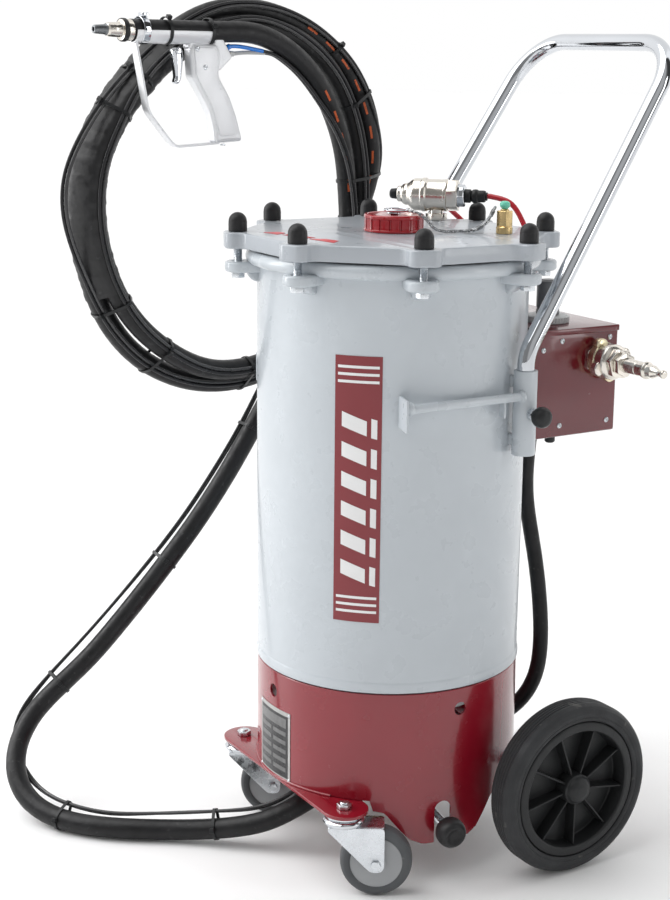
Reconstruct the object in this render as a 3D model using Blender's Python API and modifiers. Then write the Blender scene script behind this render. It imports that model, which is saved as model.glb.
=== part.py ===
"""Mobile pressure-feed abrasive blasting pot with its hose, gun and air controls.

Metres, +Z up. The floor is z = 0. The casters are at -Y, the large wheels and the push handle
at +Y, and the wheel axle runs along X. Dimensions are given from the vessel's vertical axis, and
the empty called frame sets that axis a little behind the origin, so that the origin lies under
the middle of the object.
"""

import math

import bmesh
import bpy
from mathutils import Matrix, Vector

MM = 0.001
GAP = 0.3 * MM
FRAME_Y = -0.036

# Vessel and skirt
VESSEL_R = 0.190
WALL = 0.003
JUNCTION_Z = 0.282
RIM_Z = 0.869
BEAD_R = 0.010
BEAD_CENTRE_R = 0.196
NECK_R = 0.020
NECK_END_Z = 0.170
SKIRT_LOW_Z = 0.110
LOBE_LOW_Z = 0.0585

# Lid and its clamp bolts
BOLT_COUNT = 8
BOLT_CIRCLE_R = 0.217
BOLT_PHASE = math.radians(22.5)
BOLT_R = 0.006
LID_Z = 0.871
LID_T = 0.022
LID_TOP = LID_Z + LID_T
LID_APOTHEM = 0.204
EAR_END_R = 0.236
EAR_HALF_W = 0.022
LUG_TOP_Z = 0.853
LUG_T = 0.015

# Running gear
AXLE_Y = 0.154
WHEEL_R = 0.125
WHEEL_INNER_X = 0.220
WHEEL_W = 0.048
AXLE_R = 0.010
CASTER_X = 0.147
CASTER_Y = -0.160
CASTER_R = 0.050
CASTER_TRAIL = 0.045
CASTER_W = 0.032
CASTER_ANGLE = math.radians(57.3)
PLATE_TOP = 0.1245
PLATE_T = 0.005

# Handle
HANDLE_R = 0.012
LEG_X = 0.1888
LEG_Y = 0.0941
LEG_LOW_Z = 0.612
BEND_Z = 0.7421
GRIP_X = 0.1678
GRIP_Y = 0.3614
GRIP_Z = 1.1543
SOCKET_R = 0.0163
SOCKET_LOW_Z = 0.603
SOCKET_TOP_Z = 0.720
ROD_X = 0.200
ROD_Z = 0.6865
KNOB_Z = 0.6615

# Control box
BOX_X = 0.130
BOX_BACK_Y = 0.304
BOX_FRONT_Y = 0.146
BOX_LOW_Z = 0.6033
BOX_TOP_Z = 0.7585
INLET_Y = 0.268
INLET_Z = 0.712
REGULATOR = Vector((0.064, 0.225, BOX_TOP_Z))

# Fittings on the lid
VALVE_FOOT = Vector((-0.107, 0.143, LID_TOP))
VALVE_H = 0.037
BLEED = Vector((0.092, 0.122, LID_TOP))
CAP_R = 0.042

# Outlet valve under the vessel
OUTLET_Z = 0.085
AIR_PORT_Z = 0.112
SLOT_ANGLE = math.radians(-7.3)
LEVER_PIVOT_R = 0.036
LEVER_PIVOT_Z = 0.100
LEVER_KNOB_R = 0.215
LEVER_KNOB_Z = 0.0835

# Hose, held in a ring on the -X side with the gun tied to it
HOSE_R = 0.015
LINE_R = 0.005
RING_CENTRE = Vector((-0.255, -0.118, 0.920))
RING_TILT = math.radians(-5.7)
RING_OUTER_R = 0.285
RING_INNER_R = 0.218
RING_OFFSET = Vector((0.009, -0.004, 0))
RING_FAR_N = -0.043
RING_NEAR_N = 0.0155
GUN_N = 0.034
BARREL_W = 0.2385


# ---------------------------------------------------------------- scene and object helpers


def new_collection(name):
    collection = bpy.data.collections.new(name)
    bpy.context.scene.collection.children.link(collection)
    return collection


def clear_scene():
    for obj in list(bpy.data.objects):
        bpy.data.objects.remove(obj, do_unlink=True)


clear_scene()
PARTS = new_collection("blast_pot")
CUTTERS = new_collection("cutters")


def new_empty(name, matrix, parent=None):
    empty = bpy.data.objects.new(name, None)
    PARTS.objects.link(empty)
    empty.parent = parent
    empty.matrix_local = matrix
    return empty


def ring_frame_matrix():
    """Local X runs back along the ring, local Y runs up, and local Z points at the vessel."""
    along = Vector((math.sin(RING_TILT), math.cos(RING_TILT), 0))
    up = Vector((0, 0, 1))
    out = along.cross(up)
    rows = Matrix((along, up, out)).transposed().to_4x4()
    return Matrix.Translation(RING_CENTRE) @ rows


FRAME = new_empty("frame", Matrix.Translation((0, FRAME_Y, 0)))
RING = new_empty("ring_frame", ring_frame_matrix(), FRAME)


def finish(name, colour, roughness, metallic):
    material = bpy.data.materials.new(name)
    material.use_nodes = True
    shader = material.node_tree.nodes["Principled BSDF"]
    shader.inputs["Base Color"].default_value = (*colour, 1)
    shader.inputs["Roughness"].default_value = roughness
    shader.inputs["Metallic"].default_value = metallic
    return material


GREY_PAINT = finish("grey_paint", (0.62, 0.65, 0.68), 0.35, 0)
RED_PAINT = finish("red_paint", (0.42, 0.02, 0.04), 0.3, 0)
RED_PLASTIC = finish("red_plastic", (0.55, 0.01, 0.02), 0.35, 0)
CHROME = finish("chrome", (0.7, 0.7, 0.72), 0.08, 1)
ZINC = finish("zinc", (0.7, 0.72, 0.74), 0.3, 1)
NICKEL = finish("nickel", (0.72, 0.68, 0.62), 0.22, 1)
BRASS = finish("brass", (0.7, 0.5, 0.25), 0.3, 1)
CAST_ALUMINIUM = finish("cast_aluminium", (0.75, 0.76, 0.78), 0.4, 0.6)
BLACK_RUBBER = finish("black_rubber", (0.03, 0.03, 0.03), 0.6, 0)
BLACK_PLASTIC = finish("black_plastic", (0.04, 0.04, 0.045), 0.4, 0)
GREY_PLASTIC = finish("grey_plastic", (0.35, 0.36, 0.37), 0.45, 0)
MINT_PLASTIC = finish("mint_plastic", (0.3, 0.75, 0.6), 0.4, 0)
TYRE_RUBBER = finish("tyre_rubber", (0.05, 0.05, 0.055), 0.7, 0)


def add_object(name, data, material, parent=FRAME):
    obj = bpy.data.objects.new(name, data)
    PARTS.objects.link(obj)
    obj.parent = parent
    if material:
        data.materials.append(material)
    return obj


def smooth(obj, angle=35):
    obj.data.shade_smooth()
    obj.data.set_sharp_from_angle(angle=math.radians(angle))
    return obj


def move_to_cutters(obj):
    PARTS.objects.unlink(obj)
    CUTTERS.objects.link(obj)
    obj.hide_render = True
    obj.display_type = "WIRE"


def combine(base, operation, tools):
    for tool in tools:
        modifier = base.modifiers.new(operation.lower() + "_" + tool.name, "BOOLEAN")
        modifier.operation = operation
        modifier.object = tool
        modifier.solver = "EXACT"
        move_to_cutters(tool)
    return base


def unite(base, *tools):
    return combine(base, "UNION", tools)


def cut(base, *tools):
    return combine(base, "DIFFERENCE", tools)


def mesh_from(name, build, material, parent=FRAME):
    mesh = bpy.data.meshes.new(name)
    bm = bmesh.new()
    build(bm)
    bm.normal_update()
    bm.to_mesh(mesh)
    bm.free()
    return add_object(name, mesh, material, parent)


def box(name, low, high, material=None, parent=FRAME):
    low, high = Vector(low), Vector(high)
    size = high - low
    place = Matrix.Translation((low + high) / 2) @ Matrix.Diagonal((*size, 1))
    return mesh_from(name, lambda bm: bmesh.ops.create_cube(bm, size=1, matrix=place), material, parent)


def cylinder(name, radius, low, high, sides=16, material=None, parent=FRAME):
    """A prism from low to high, which are its end points."""
    low, high = Vector(low), Vector(high)
    run = high - low
    turn = run.to_track_quat("Z", "X").to_matrix().to_4x4()
    place = Matrix.Translation((low + high) / 2) @ turn

    def build(bm):
        bmesh.ops.create_cone(bm, cap_ends=True, segments=sides, radius1=radius, radius2=radius,
                              depth=run.length, matrix=place)

    return smooth(mesh_from(name, build, material, parent))


def turned(name, profile, steps, material=None, parent=FRAME, closed=False, place=None):
    """Turns (radius, height) points about local Z. The points run down the outer side."""
    mesh = bpy.data.meshes.new(name)
    points = [(radius, 0, height) for radius, height in profile]
    edges = [(i, i + 1) for i in range(len(points) - 1)]
    if closed:
        edges.append((len(points) - 1, 0))
    mesh.from_pydata(points, edges, [])
    obj = add_object(name, mesh, material, parent)
    screw = obj.modifiers.new("turn", "SCREW")
    screw.axis = "Z"
    screw.steps = steps
    screw.render_steps = steps
    screw.use_merge_vertices = True
    screw.merge_threshold = 0.00001
    screw.use_smooth_shade = True
    if place is not None:
        obj.matrix_local = place
    return obj


def solid_of(curve_object):
    """Replaces a curve object by its mesh, with the caps joined on."""
    graph = bpy.context.evaluated_depsgraph_get()
    mesh = bpy.data.meshes.new_from_object(curve_object.evaluated_get(graph))
    bm = bmesh.new()
    bm.from_mesh(mesh)
    bmesh.ops.remove_doubles(bm, verts=bm.verts, dist=0.00001)
    bm.to_mesh(mesh)
    bm.free()
    name, parent, place = curve_object.name, curve_object.parent, curve_object.matrix_local.copy()
    bpy.data.objects.remove(curve_object, do_unlink=True)
    obj = add_object(name, mesh, None, parent)
    obj.matrix_local = place
    return obj


def plate(name, loops, thickness, material=None, parent=FRAME, place=None, bevel=0):
    """A flat plate: the first loop is its outline, the others are holes. It is centred on local z."""
    curve = bpy.data.curves.new(name, "CURVE")
    curve.dimensions = "2D"
    curve.fill_mode = "BOTH"
    curve.extrude = thickness / 2
    for loop in loops:
        spline = curve.splines.new("POLY")
        spline.points.add(len(loop) - 1)
        for point, (x, y) in zip(spline.points, loop):
            point.co = (x, y, 0, 1)
        spline.use_cyclic_u = True
    if material:
        curve.materials.append(material)
    obj = bpy.data.objects.new(name, curve)
    PARTS.objects.link(obj)
    obj.parent = parent
    if place is not None:
        obj.matrix_local = place
    obj = solid_of(obj)
    if bevel:
        rounding = obj.modifiers.new("edges", "BEVEL")
        rounding.width = bevel
        rounding.segments = 2
        rounding.limit_method = "ANGLE"
        rounding.angle_limit = math.radians(50)
    return smooth(obj)


def tube(name, points, radius, resolution=2, material=None, parent=FRAME):
    """A round bar or hose along points. Its sides number 4 plus twice the resolution."""
    curve = bpy.data.curves.new(name, "CURVE")
    curve.dimensions = "3D"
    curve.bevel_depth = radius
    curve.bevel_resolution = resolution
    curve.use_fill_caps = True
    spline = curve.splines.new("POLY")
    spline.points.add(len(points) - 1)
    for point, place in zip(spline.points, points):
        point.co = (*place, 1)
    spline.use_smooth = True
    return add_object(name, curve, material, parent)


def circle(radius, sides, centre=(0, 0), start=0.0):
    turns = [start + 2 * math.pi * i / sides for i in range(sides)]
    return [(centre[0] + radius * math.cos(a), centre[1] + radius * math.sin(a)) for a in turns]


def arc(centre, radius, first, last, steps):
    """Points on an arc, with its angles in degrees."""
    turns = [math.radians(first + (last - first) * i / steps) for i in range(steps + 1)]
    return [(centre[0] + radius * math.cos(a), centre[1] + radius * math.sin(a)) for a in turns]


def rounded_path(corners, radii, steps):
    """A path through corners, where each inner corner is an arc of its own radius."""
    corners = [Vector(corner) for corner in corners]
    path = [corners[0]]
    for before, corner, after, radius in zip(corners, corners[1:], corners[2:], radii):
        back = (before - corner).normalized()
        ahead = (after - corner).normalized()
        half = back.angle(ahead) / 2
        setback = radius / math.tan(half)
        centre = corner + (back + ahead).normalized() * (radius / math.sin(half))
        first = corner + back * setback - centre
        last = corner + ahead * setback - centre
        sweep = first.angle(last)
        for i in range(steps + 1):
            share = i / steps
            blend = first * math.sin((1 - share) * sweep) + last * math.sin(share * sweep)
            path.append(centre + blend / math.sin(sweep))
    path.append(corners[-1])
    return path


def smooth_path(route, spacing):
    """A straight run at each end of the route, and points a spacing apart on a smooth curve between."""
    knots = [Vector(point) for point in route]
    fine = []
    for a, b, c, d in zip(knots, knots[1:], knots[2:], knots[3:]):
        for i in range(24):
            t = i / 24
            fine.append(0.5 * (2 * b + (c - a) * t + (2 * a - 5 * b + 4 * c - d) * t * t
                               + (3 * b - a - 3 * c + d) * t * t * t))
    fine.append(knots[-2])
    lengths = [0.0]
    for a, b in zip(fine, fine[1:]):
        lengths.append(lengths[-1] + (b - a).length)
    count = max(2, round(lengths[-1] / spacing))
    path, index = [], 0
    for k in range(count + 1):
        target = lengths[-1] * k / count
        while index < len(fine) - 2 and lengths[index + 1] < target:
            index += 1
        span = lengths[index + 1] - lengths[index]
        share = (target - lengths[index]) / span if span else 0.0
        path.append(fine[index].lerp(fine[index + 1], min(1.0, max(0.0, share))))
    return [knots[0]] + path + [knots[-1]]


def about_x(location, side=1):
    """Local Z along +X, or along -X for side -1."""
    return Matrix.Translation(location) @ Matrix.Rotation(side * math.pi / 2, 4, "Y")


def bolt_angles():
    return [BOLT_PHASE + 2 * math.pi * k / BOLT_COUNT for k in range(BOLT_COUNT)]


def bolt_place(angle, height):
    return Vector((BOLT_CIRCLE_R * math.sin(angle), -BOLT_CIRCLE_R * math.cos(angle), height))


# ---------------------------------------------------------------- vessel, skirt and base


def dish_profile(radius, depth, steps):
    """The outside of the dished bottom, from its edge in to the neck."""
    points = []
    for i in range(1, steps + 1):
        turn = math.acos(NECK_R / radius) * i / steps
        points.append((radius * math.cos(turn), JUNCTION_Z - depth * math.sin(turn)))
    return points


def lug(name, angle):
    """A tongue welded to the vessel, with a hole for the clamp bolt."""
    end = BOLT_CIRCLE_R + 0.018 - EAR_HALF_W
    outline = arc((end, 0), EAR_HALF_W, -90, 90, 4)
    outline += [(VESSEL_R - 0.002, EAR_HALF_W), (VESSEL_R - 0.002, -EAR_HALF_W)]
    hole = circle(BOLT_R + 3 * GAP, 8, (BOLT_CIRCLE_R, 0))
    turn = Matrix.Rotation(angle - math.pi / 2, 4, "Z")
    lift = Matrix.Translation((0, 0, LUG_TOP_Z - LUG_T / 2))
    return plate(name, [outline, hole], LUG_T, place=lift @ turn)


def make_vessel():
    inside = VESSEL_R - WALL
    dish_r = VESSEL_R - WALL - 0.001
    outer = arc((BEAD_CENTRE_R, RIM_Z - BEAD_R), BEAD_R, 90, -126.9, 5)
    outer += [(VESSEL_R, JUNCTION_Z + GAP), (dish_r, JUNCTION_Z + GAP)]
    outer += dish_profile(dish_r, 0.080, 4)
    outer += [(NECK_R, NECK_END_Z), (NECK_R - 0.004, NECK_END_Z)]
    inner_dish = [(r - WALL, z + WALL) for r, z in dish_profile(dish_r, 0.080, 4)]
    profile = outer + inner_dish[::-1] + [(inside - WALL, JUNCTION_Z + 0.010), (inside, JUNCTION_Z + 0.020)]
    profile += [(inside, RIM_Z - 2 * BEAD_R), (inside + 0.002, RIM_Z)]
    vessel = turned("vessel_shell", profile, 36, GREY_PAINT, closed=True)
    lugs = [lug(f"lug_{k + 1}", angle) for k, angle in enumerate(bolt_angles())]
    return unite(vessel, *lugs)


def skirt_edge(angle):
    """Height of the skirt's lower edge at an angle in degrees from the front, towards +X."""
    if abs(angle) < 52:
        return PLATE_TOP + GAP
    lobe = [(57.5, SKIRT_LOW_Z - 0.002), (71, LOBE_LOW_Z), (97.5, LOBE_LOW_Z), (110, SKIRT_LOW_Z)]
    for (first, high), (last, low) in zip(lobe, lobe[1:]):
        if first <= angle <= last:
            return high + (low - high) * (angle - first) / (last - first)
    return SKIRT_LOW_Z


def skirt_sheet(bm):
    rings = []
    for k in range(120):
        angle = -180 + 3 * k
        turn = math.radians(angle)
        x, y = VESSEL_R * math.sin(turn), -VESSEL_R * math.cos(turn)
        rings.append((bm.verts.new((x, y, JUNCTION_Z)), bm.verts.new((x, y, skirt_edge(angle)))))
    for (top, low), (next_top, next_low) in zip(rings, rings[1:] + rings[:1]):
        bm.faces.new((top, low, next_low, next_top))


def make_skirt():
    skirt = smooth(mesh_from("skirt", skirt_sheet, RED_PAINT))
    shell = skirt.modifiers.new("sheet", "SOLIDIFY")
    shell.thickness = WALL
    shell.offset = -1
    radial = Vector((math.cos(SLOT_ANGLE), math.sin(SLOT_ANGLE), 0))
    slot_top = 0.1195
    slot_r = 0.0125
    quarter = math.pi / 2
    across = Matrix.Rotation(SLOT_ANGLE, 4, "Z") @ Matrix.Rotation(quarter, 4,
                                                                   "X") @ Matrix.Rotation(quarter, 4, "Y")
    outline = arc((0, slot_top - slot_r), slot_r, 0, 180, 8) + [(-slot_r, 0.02), (slot_r, 0.02)]
    slot = plate("lever_slot", [outline], 0.08, place=Matrix.Translation(radial * VESSEL_R) @ across)
    tools = [slot]
    for k in range(4):
        out = Vector((math.sin(k * math.pi / 2), -math.cos(k * math.pi / 2), 0))
        low = out * (VESSEL_R - 0.02) + Vector((0, 0, 0.2523))
        tools.append(cylinder(f"drain_hole_{k}", 0.0095, low, low + out * 0.04, 16))
    tools.append(cylinder("axle_hole", AXLE_R + 2 * GAP, (-0.2, AXLE_Y, WHEEL_R), (0.2, AXLE_Y, WHEEL_R),
                          16))
    notch = arc((0.058, 0.162), 0.023, 0, 180, 8) + [(0.035, 0.05), (0.081, 0.05)]
    stand = Matrix.Translation((0, 0.17, 0)) @ Matrix.Rotation(math.pi / 2, 4, "X")
    tools.append(plate("hose_notch", [notch], 0.10, place=stand))
    return cut(skirt, *tools)


def make_caster_plate():
    end_r = 0.032
    outline = arc((CASTER_X, CASTER_Y + 0.002), end_r, -90, 90, 8)
    outline += arc((-CASTER_X, CASTER_Y + 0.002), end_r, 90, 270, 8)
    holes = [circle(0.0068, 10, (side * CASTER_X, CASTER_Y)) for side in (-1, 1)]
    lift = Matrix.Translation((0, 0, PLATE_TOP - PLATE_T / 2))
    return plate("caster_plate", [outline] + holes, PLATE_T, RED_PAINT, place=lift)


# ---------------------------------------------------------------- lid


def ear_outline():
    """Half of one ear and its fillet, as (along the ear, across the ear), from its end inwards."""
    tip_r = 0.014
    fillet_r = 0.014
    lean = math.radians(22.5)
    meet = (LID_APOTHEM - EAR_HALF_W * math.sin(lean)) / math.cos(lean)
    setback = fillet_r / math.tan(math.radians(56.25))
    tip = arc((EAR_END_R - tip_r, EAR_HALF_W - tip_r), tip_r, 0, 90, 3)
    hollow = arc((meet + setback, EAR_HALF_W + fillet_r), fillet_r, -90, -157.5, 2)
    return tip + hollow


def lid_outline():
    outline = []
    half = ear_outline()
    for angle in bolt_angles():
        turn = angle - math.pi / 2
        for along, across in [(s, -t) for s, t in half[::-1]] + half:
            x = along * math.cos(turn) - across * math.sin(turn)
            y = along * math.sin(turn) + across * math.cos(turn)
            outline.append((x, y))
    return outline


def make_lid():
    holes = []
    for angle in bolt_angles():
        place = bolt_place(angle, 0)
        holes.append(circle(BOLT_R + 3 * GAP, 8, (place.x, place.y)))
    holes.append(circle(0.0345, 24))
    lift = Matrix.Translation((0, 0, LID_Z + LID_T / 2))
    plate("lid_plate", [lid_outline()] + holes, LID_T, GREY_PAINT, place=lift)
    low, high = RIM_Z + GAP, LID_Z - GAP
    turned("lid_gasket", [(0.1985, high), (0.1985, low), (0.1905, low), (0.1905, high)], 32, BLACK_RUBBER,
           closed=True)


def make_filler():
    """The threaded neck through the lid, the fluted cap over it and the ring on the cap's top."""
    neck = [(0.0335, LID_TOP + 0.012), (0.0335, LID_Z - 0.010), (0.0300, LID_Z - 0.010),
            (0.0300, LID_TOP + 0.012)]
    turned("filler_neck", neck, 20, ZINC, closed=True)
    low, high = LID_TOP + GAP, LID_TOP + 0.0235
    cap = [(0.006, high), (CAP_R - 0.004, high), (CAP_R, high - 0.003), (CAP_R, low), (0.0345, low),
           (0.0345, LID_TOP + 0.0135), (0.006, LID_TOP + 0.0135)]
    turned("fill_cap", cap, 20, RED_PLASTIC, closed=True)
    pin = turned("cap_ring", [(0.0, high + 0.006), (0.011, high + 0.006), (0.011, high + 0.0008),
                              (0.0052, high + 0.0008), (0.0052, LID_TOP + 0.0145),
                              (0.0, LID_TOP + 0.0145)], 16, ZINC)
    loop = tube("cap_ring_loop", [(0.018 * math.cos(a), 0.006 + 0.018 * math.sin(a), high + 0.0055)
                                  for a in [2 * math.pi * k / 16 for k in range(16)]], 0.0022, 0)
    loop.data.splines[0].use_cyclic_u = True
    loop.data.use_fill_caps = False
    return unite(pin, solid_of(loop))


def clamp_bolt(number, angle):
    place = bolt_place(angle, 0)
    top = LID_TOP + 0.017
    bolt = cylinder(f"lid_bolt_{number}", BOLT_R, place + Vector((0, 0, LUG_TOP_Z - LUG_T - 0.006)),
                    place + Vector((0, 0, top)), 8, ZINC)
    head_top = LUG_TOP_Z - LUG_T - GAP
    head = cylinder(f"bolt_head_{number}", 0.0100, place + Vector((0, 0, head_top - 0.0075)),
                    place + Vector((0, 0, head_top)), 6)
    nut = cylinder(f"bolt_nut_{number}", 0.0098, place + Vector((0, 0, LID_TOP + GAP)),
                   place + Vector((0, 0, LID_TOP + 0.0105)), 6)
    return unite(bolt, head, nut)


def bolt_cap(number, angle):
    outer_r, inner_r, height = 0.0125, 0.0106, 0.026
    inner = [(0.0, 0.0195), (inner_r, 0.0180), (inner_r, 0.0)]
    outer = [(0.0, height), (0.0066, height - 0.0020), (0.0110, height - 0.0065),
             (outer_r, height - 0.0125), (outer_r, 0.0)]
    lift = Matrix.Translation(bolt_place(angle, LID_TOP + GAP))
    return turned(f"bolt_cap_{number}", outer + inner[::-1], 10, BLACK_RUBBER, place=lift)


def make_clamps():
    for k, angle in enumerate(bolt_angles()):
        clamp_bolt(k + 1, angle)
        bolt_cap(k + 1, angle)


def make_exhaust_valve():
    """A nickel-plated air-operated dump valve lying on a short stem, with a push-in elbow."""
    stem = cylinder("exhaust_valve", 0.0105, VALVE_FOOT + Vector((0, 0, GAP)),
                    VALVE_FOOT + Vector((0, 0, VALVE_H)), 12, NICKEL)
    profile = [(0.0, 0.063), (0.0075, 0.063), (0.0075, 0.050), (0.0150, 0.046), (0.0150, 0.040),
               (0.0220, 0.026), (0.0250, 0.024), (0.0250, -0.030), (0.0190, -0.044), (0.0120, -0.055),
               (0.0085, -0.062), (0.0060, -0.063), (0.0060, -0.071), (0.0, -0.071)]
    aim = Vector((1, 1, 0)).to_track_quat("Z", "X").to_matrix().to_4x4()
    body = turned("valve_body", profile, 16,
                  place=Matrix.Translation(VALVE_FOOT + Vector((0, 0, VALVE_H))) @ aim)
    return unite(stem, body)


def make_bleed_valve():
    profile = [(0.0, 0.034), (0.0070, 0.034), (0.0070, 0.030), (0.0100, 0.028), (0.0110, 0.012),
               (0.0115, 0.010), (0.0115, GAP), (0.0, GAP)]
    turned("bleed_valve", profile, 12, BRASS, place=Matrix.Translation(BLEED))
    plug = [(0.0, 0.045), (0.0050, 0.0445), (0.0075, 0.0415), (0.0075, 0.0375), (0.0045, 0.0345),
            (0.0, 0.0345)]
    turned("bleed_plug", plug, 12, MINT_PLASTIC, place=Matrix.Translation(BLEED))


def chain_route():
    return [(0.0235, 0.008, 0.9225), (0.0300, 0.010, 0.9220), (0.0370, 0.014, 0.9215),
            (0.0480, 0.022, 0.9150), (0.0545, 0.033, 0.9010), (0.0580, 0.045, 0.8966),
            (0.0640, 0.066, 0.8966), (0.0710, 0.088, 0.8990), (0.0790, 0.102, 0.9120),
            (0.0810, 0.109, 0.9240)]


def vent_route():
    return [(-0.0605, 0.1895, 0.930), (-0.0480, 0.2020, 0.9300), (-0.0230, 0.2200, 0.9200),
            (0.0020, 0.2280, 0.8850), (0.0200, 0.2300, 0.8450), (0.0320, 0.2350, 0.8050),
            (0.0210, 0.2450, 0.7750), (0.0210, 0.2450, 0.7590)]


def pilot_route():
    return [(-0.1330, 0.1665, 0.9250), (-0.1450, 0.1790, 0.9200), (-0.1560, 0.2000, 0.9040),
            (-0.1480, 0.2200, 0.8840), (-0.1200, 0.2390, 0.8500), (-0.0750, 0.2520, 0.8050),
            (-0.0420, 0.2500, 0.7750), (-0.0420, 0.2500, 0.7590)]


def make_lid_lines():
    tube("safety_chain", smooth_path(chain_route(), 0.010), 0.0022, 1, ZINC)
    tube("vent_line", smooth_path(vent_route(), 0.014), 0.0040, 1, RED_PLASTIC)
    tube("pilot_line", smooth_path(pilot_route(), 0.014), 0.0040, 1, RED_PLASTIC)


# ---------------------------------------------------------------- handle and side brackets


def handle_path():
    corners = [(LEG_X, LEG_Y, LEG_LOW_Z), (LEG_X, LEG_Y, BEND_Z), (GRIP_X, GRIP_Y, GRIP_Z),
               (-GRIP_X, GRIP_Y, GRIP_Z), (-LEG_X, LEG_Y, BEND_Z), (-LEG_X, LEG_Y, LEG_LOW_Z)]
    return rounded_path(corners, [0.060, 0.080, 0.080, 0.060], 5)


def make_handle():
    return tube("handle", handle_path(), HANDLE_R, 3, CHROME)


def side_bracket(name, side):
    """The handle's socket, its two spacers, and the hose rod with its end tab and gusset."""
    x, y = side * LEG_X, LEG_Y
    bore_r = HANDLE_R + 2 * GAP
    profile = [(SOCKET_R, SOCKET_TOP_Z), (SOCKET_R, SOCKET_LOW_Z), (bore_r, SOCKET_LOW_Z),
               (bore_r, SOCKET_TOP_Z)]
    socket = turned(name, profile, 20, GREY_PAINT, closed=True, place=Matrix.Translation((x, y, 0)))
    out = Vector((x, y, 0)).normalized()
    heading = Matrix.Rotation(math.atan2(out.y, out.x), 4, "Z")
    tools = []
    for k, height in enumerate((0.622, 0.703)):
        spacer = box(f"{name}_spacer_{k}", (VESSEL_R + 2 * GAP, -0.005, height - 0.008),
                     (0.1955, 0.005, height + 0.008))
        spacer.matrix_local = heading
        tools.append(spacer)
    tools.append(cylinder(f"{name}_rod", 0.006, (side * ROD_X, -0.1045, ROD_Z),
                          (side * ROD_X, y - 0.0125, ROD_Z), 10))
    reach = side * 0.0415
    tab = box(f"{name}_tab", (min(0, reach), -0.0020, 0.656), (max(0, reach), 0.0020, 0.699))
    tab.matrix_local = Matrix.Translation((side * 0.1665, -0.0934, 0)) @ Matrix.Rotation(-side * 0.318, 4,
                                                                                         "Z")
    tools.append(tab)
    low = (min(side * 0.191, side * 0.203), 0.050, 0.660)
    high = (max(side * 0.191, side * 0.203), 0.053, 0.688)
    tools.append(box(f"{name}_gusset", low, high))
    low = (side * (LEG_X + SOCKET_R - 0.001), y, KNOB_Z)
    boss = cylinder(f"{name}_boss", 0.0085, low, (side * 0.2125, y, KNOB_Z), 12)
    tools.append(boss)
    return unite(socket, *tools)


def lock_knob(name, side):
    profile = [(0.0, 0.026), (0.0080, 0.025), (0.0130, 0.021), (0.0145, 0.014), (0.0135, 0.007),
               (0.0080, 0.003), (0.0080, GAP), (0.0, GAP)]
    return turned(name, profile, 12, BLACK_PLASTIC, place=about_x((side * 0.2128, LEG_Y, KNOB_Z), side))


# ---------------------------------------------------------------- control box and air inlet


def make_control_box():
    """A sheet-metal box saddled on the vessel. Its hollow opens at the hole behind the inlet."""
    control_box = box("control_box", (-BOX_X, BOX_FRONT_Y, BOX_LOW_Z), (BOX_X, BOX_BACK_Y, BOX_TOP_Z),
                      RED_PAINT)
    saddle = cylinder("box_saddle", VESSEL_R + 0.003, (0, 0, 0.5), (0, 0, 0.8), 72)
    hollow = box("box_hollow", (-0.126, 0.205, BOX_LOW_Z + 0.002),
                 (0.126, BOX_BACK_Y - 0.002, BOX_TOP_Z - 0.002))
    hole = cylinder("inlet_hole", 0.0205, (0.11, INLET_Y, INLET_Z), (0.15, INLET_Y, INLET_Z), 16)
    cut(control_box, saddle, hollow, hole)
    box("valve_block", (0.010, 0.212, 0.640), (0.080, 0.290, 0.735), CAST_ALUMINIUM)


def make_regulator():
    place = Matrix.Translation(REGULATOR)
    collar = [(0.0, 0.0115), (0.0300, 0.0115), (0.0320, 0.0095), (0.0320, GAP), (0.0, GAP)]
    turned("regulator_collar", collar, 20, GREY_PLASTIC, place=place)
    knob = [(0.0, 0.062), (0.0155, 0.062), (0.0170, 0.060), (0.0170, 0.012), (0.0, 0.012)]
    turned("regulator_knob", knob, 16, GREY_PLASTIC, place=place)


def claw(name, start, end, turn, centre):
    """Two lugs that stand across a coupling half, at an angle about its axis."""
    reach = 0.034
    lugs = box(name, (start, -0.010, -reach), (end, 0.010, reach))
    lugs.matrix_local = Matrix.Translation(centre) @ Matrix.Rotation(turn, 4, "X")
    return lugs


def make_inlet():
    centre = Vector((BOX_X, INLET_Y, INLET_Z))
    fixed = [(0.0, 0.0205), (0.0240, 0.0205), (0.0255, 0.0180), (0.0255, 0.0060), (0.0180, 0.0030),
             (0.0180, -0.0350), (0.0, -0.0350)]
    half = turned("inlet_claw", fixed, 16, NICKEL, place=about_x(centre))
    unite(half, claw("claw_fixed", 0.008, 0.020, math.radians(20), centre))
    profile = [(0.0, 0.143), (0.0060, 0.142), (0.0055, 0.128), (0.0090, 0.121), (0.0090, 0.111),
               (0.0120, 0.108), (0.0120, 0.103), (0.0105, 0.101), (0.0105, 0.064), (0.0170, 0.062),
               (0.0170, 0.053), (0.0225, 0.051), (0.0225, 0.040), (0.0255, 0.037), (0.0255, 0.0210),
               (0.0, 0.0210)]
    plug = turned("inlet_plug", profile, 12, NICKEL, place=about_x(centre))
    unite(plug, claw("claw_loose", 0.0215, 0.034, math.radians(110), centre))


# ---------------------------------------------------------------- running gear


def make_axle():
    axle = cylinder("axle", AXLE_R, (-0.261, AXLE_Y, WHEEL_R), (0.261, AXLE_Y, WHEEL_R), 12, ZINC)
    collars = []
    for side in (-1, 1):
        low = (side * 0.2100, AXLE_Y, WHEEL_R)
        high = (side * 0.2145, AXLE_Y, WHEEL_R)
        collars.append(cylinder(f"axle_collar_{side}", 0.016, low, high, 12))
    return unite(axle, *collars)


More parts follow.
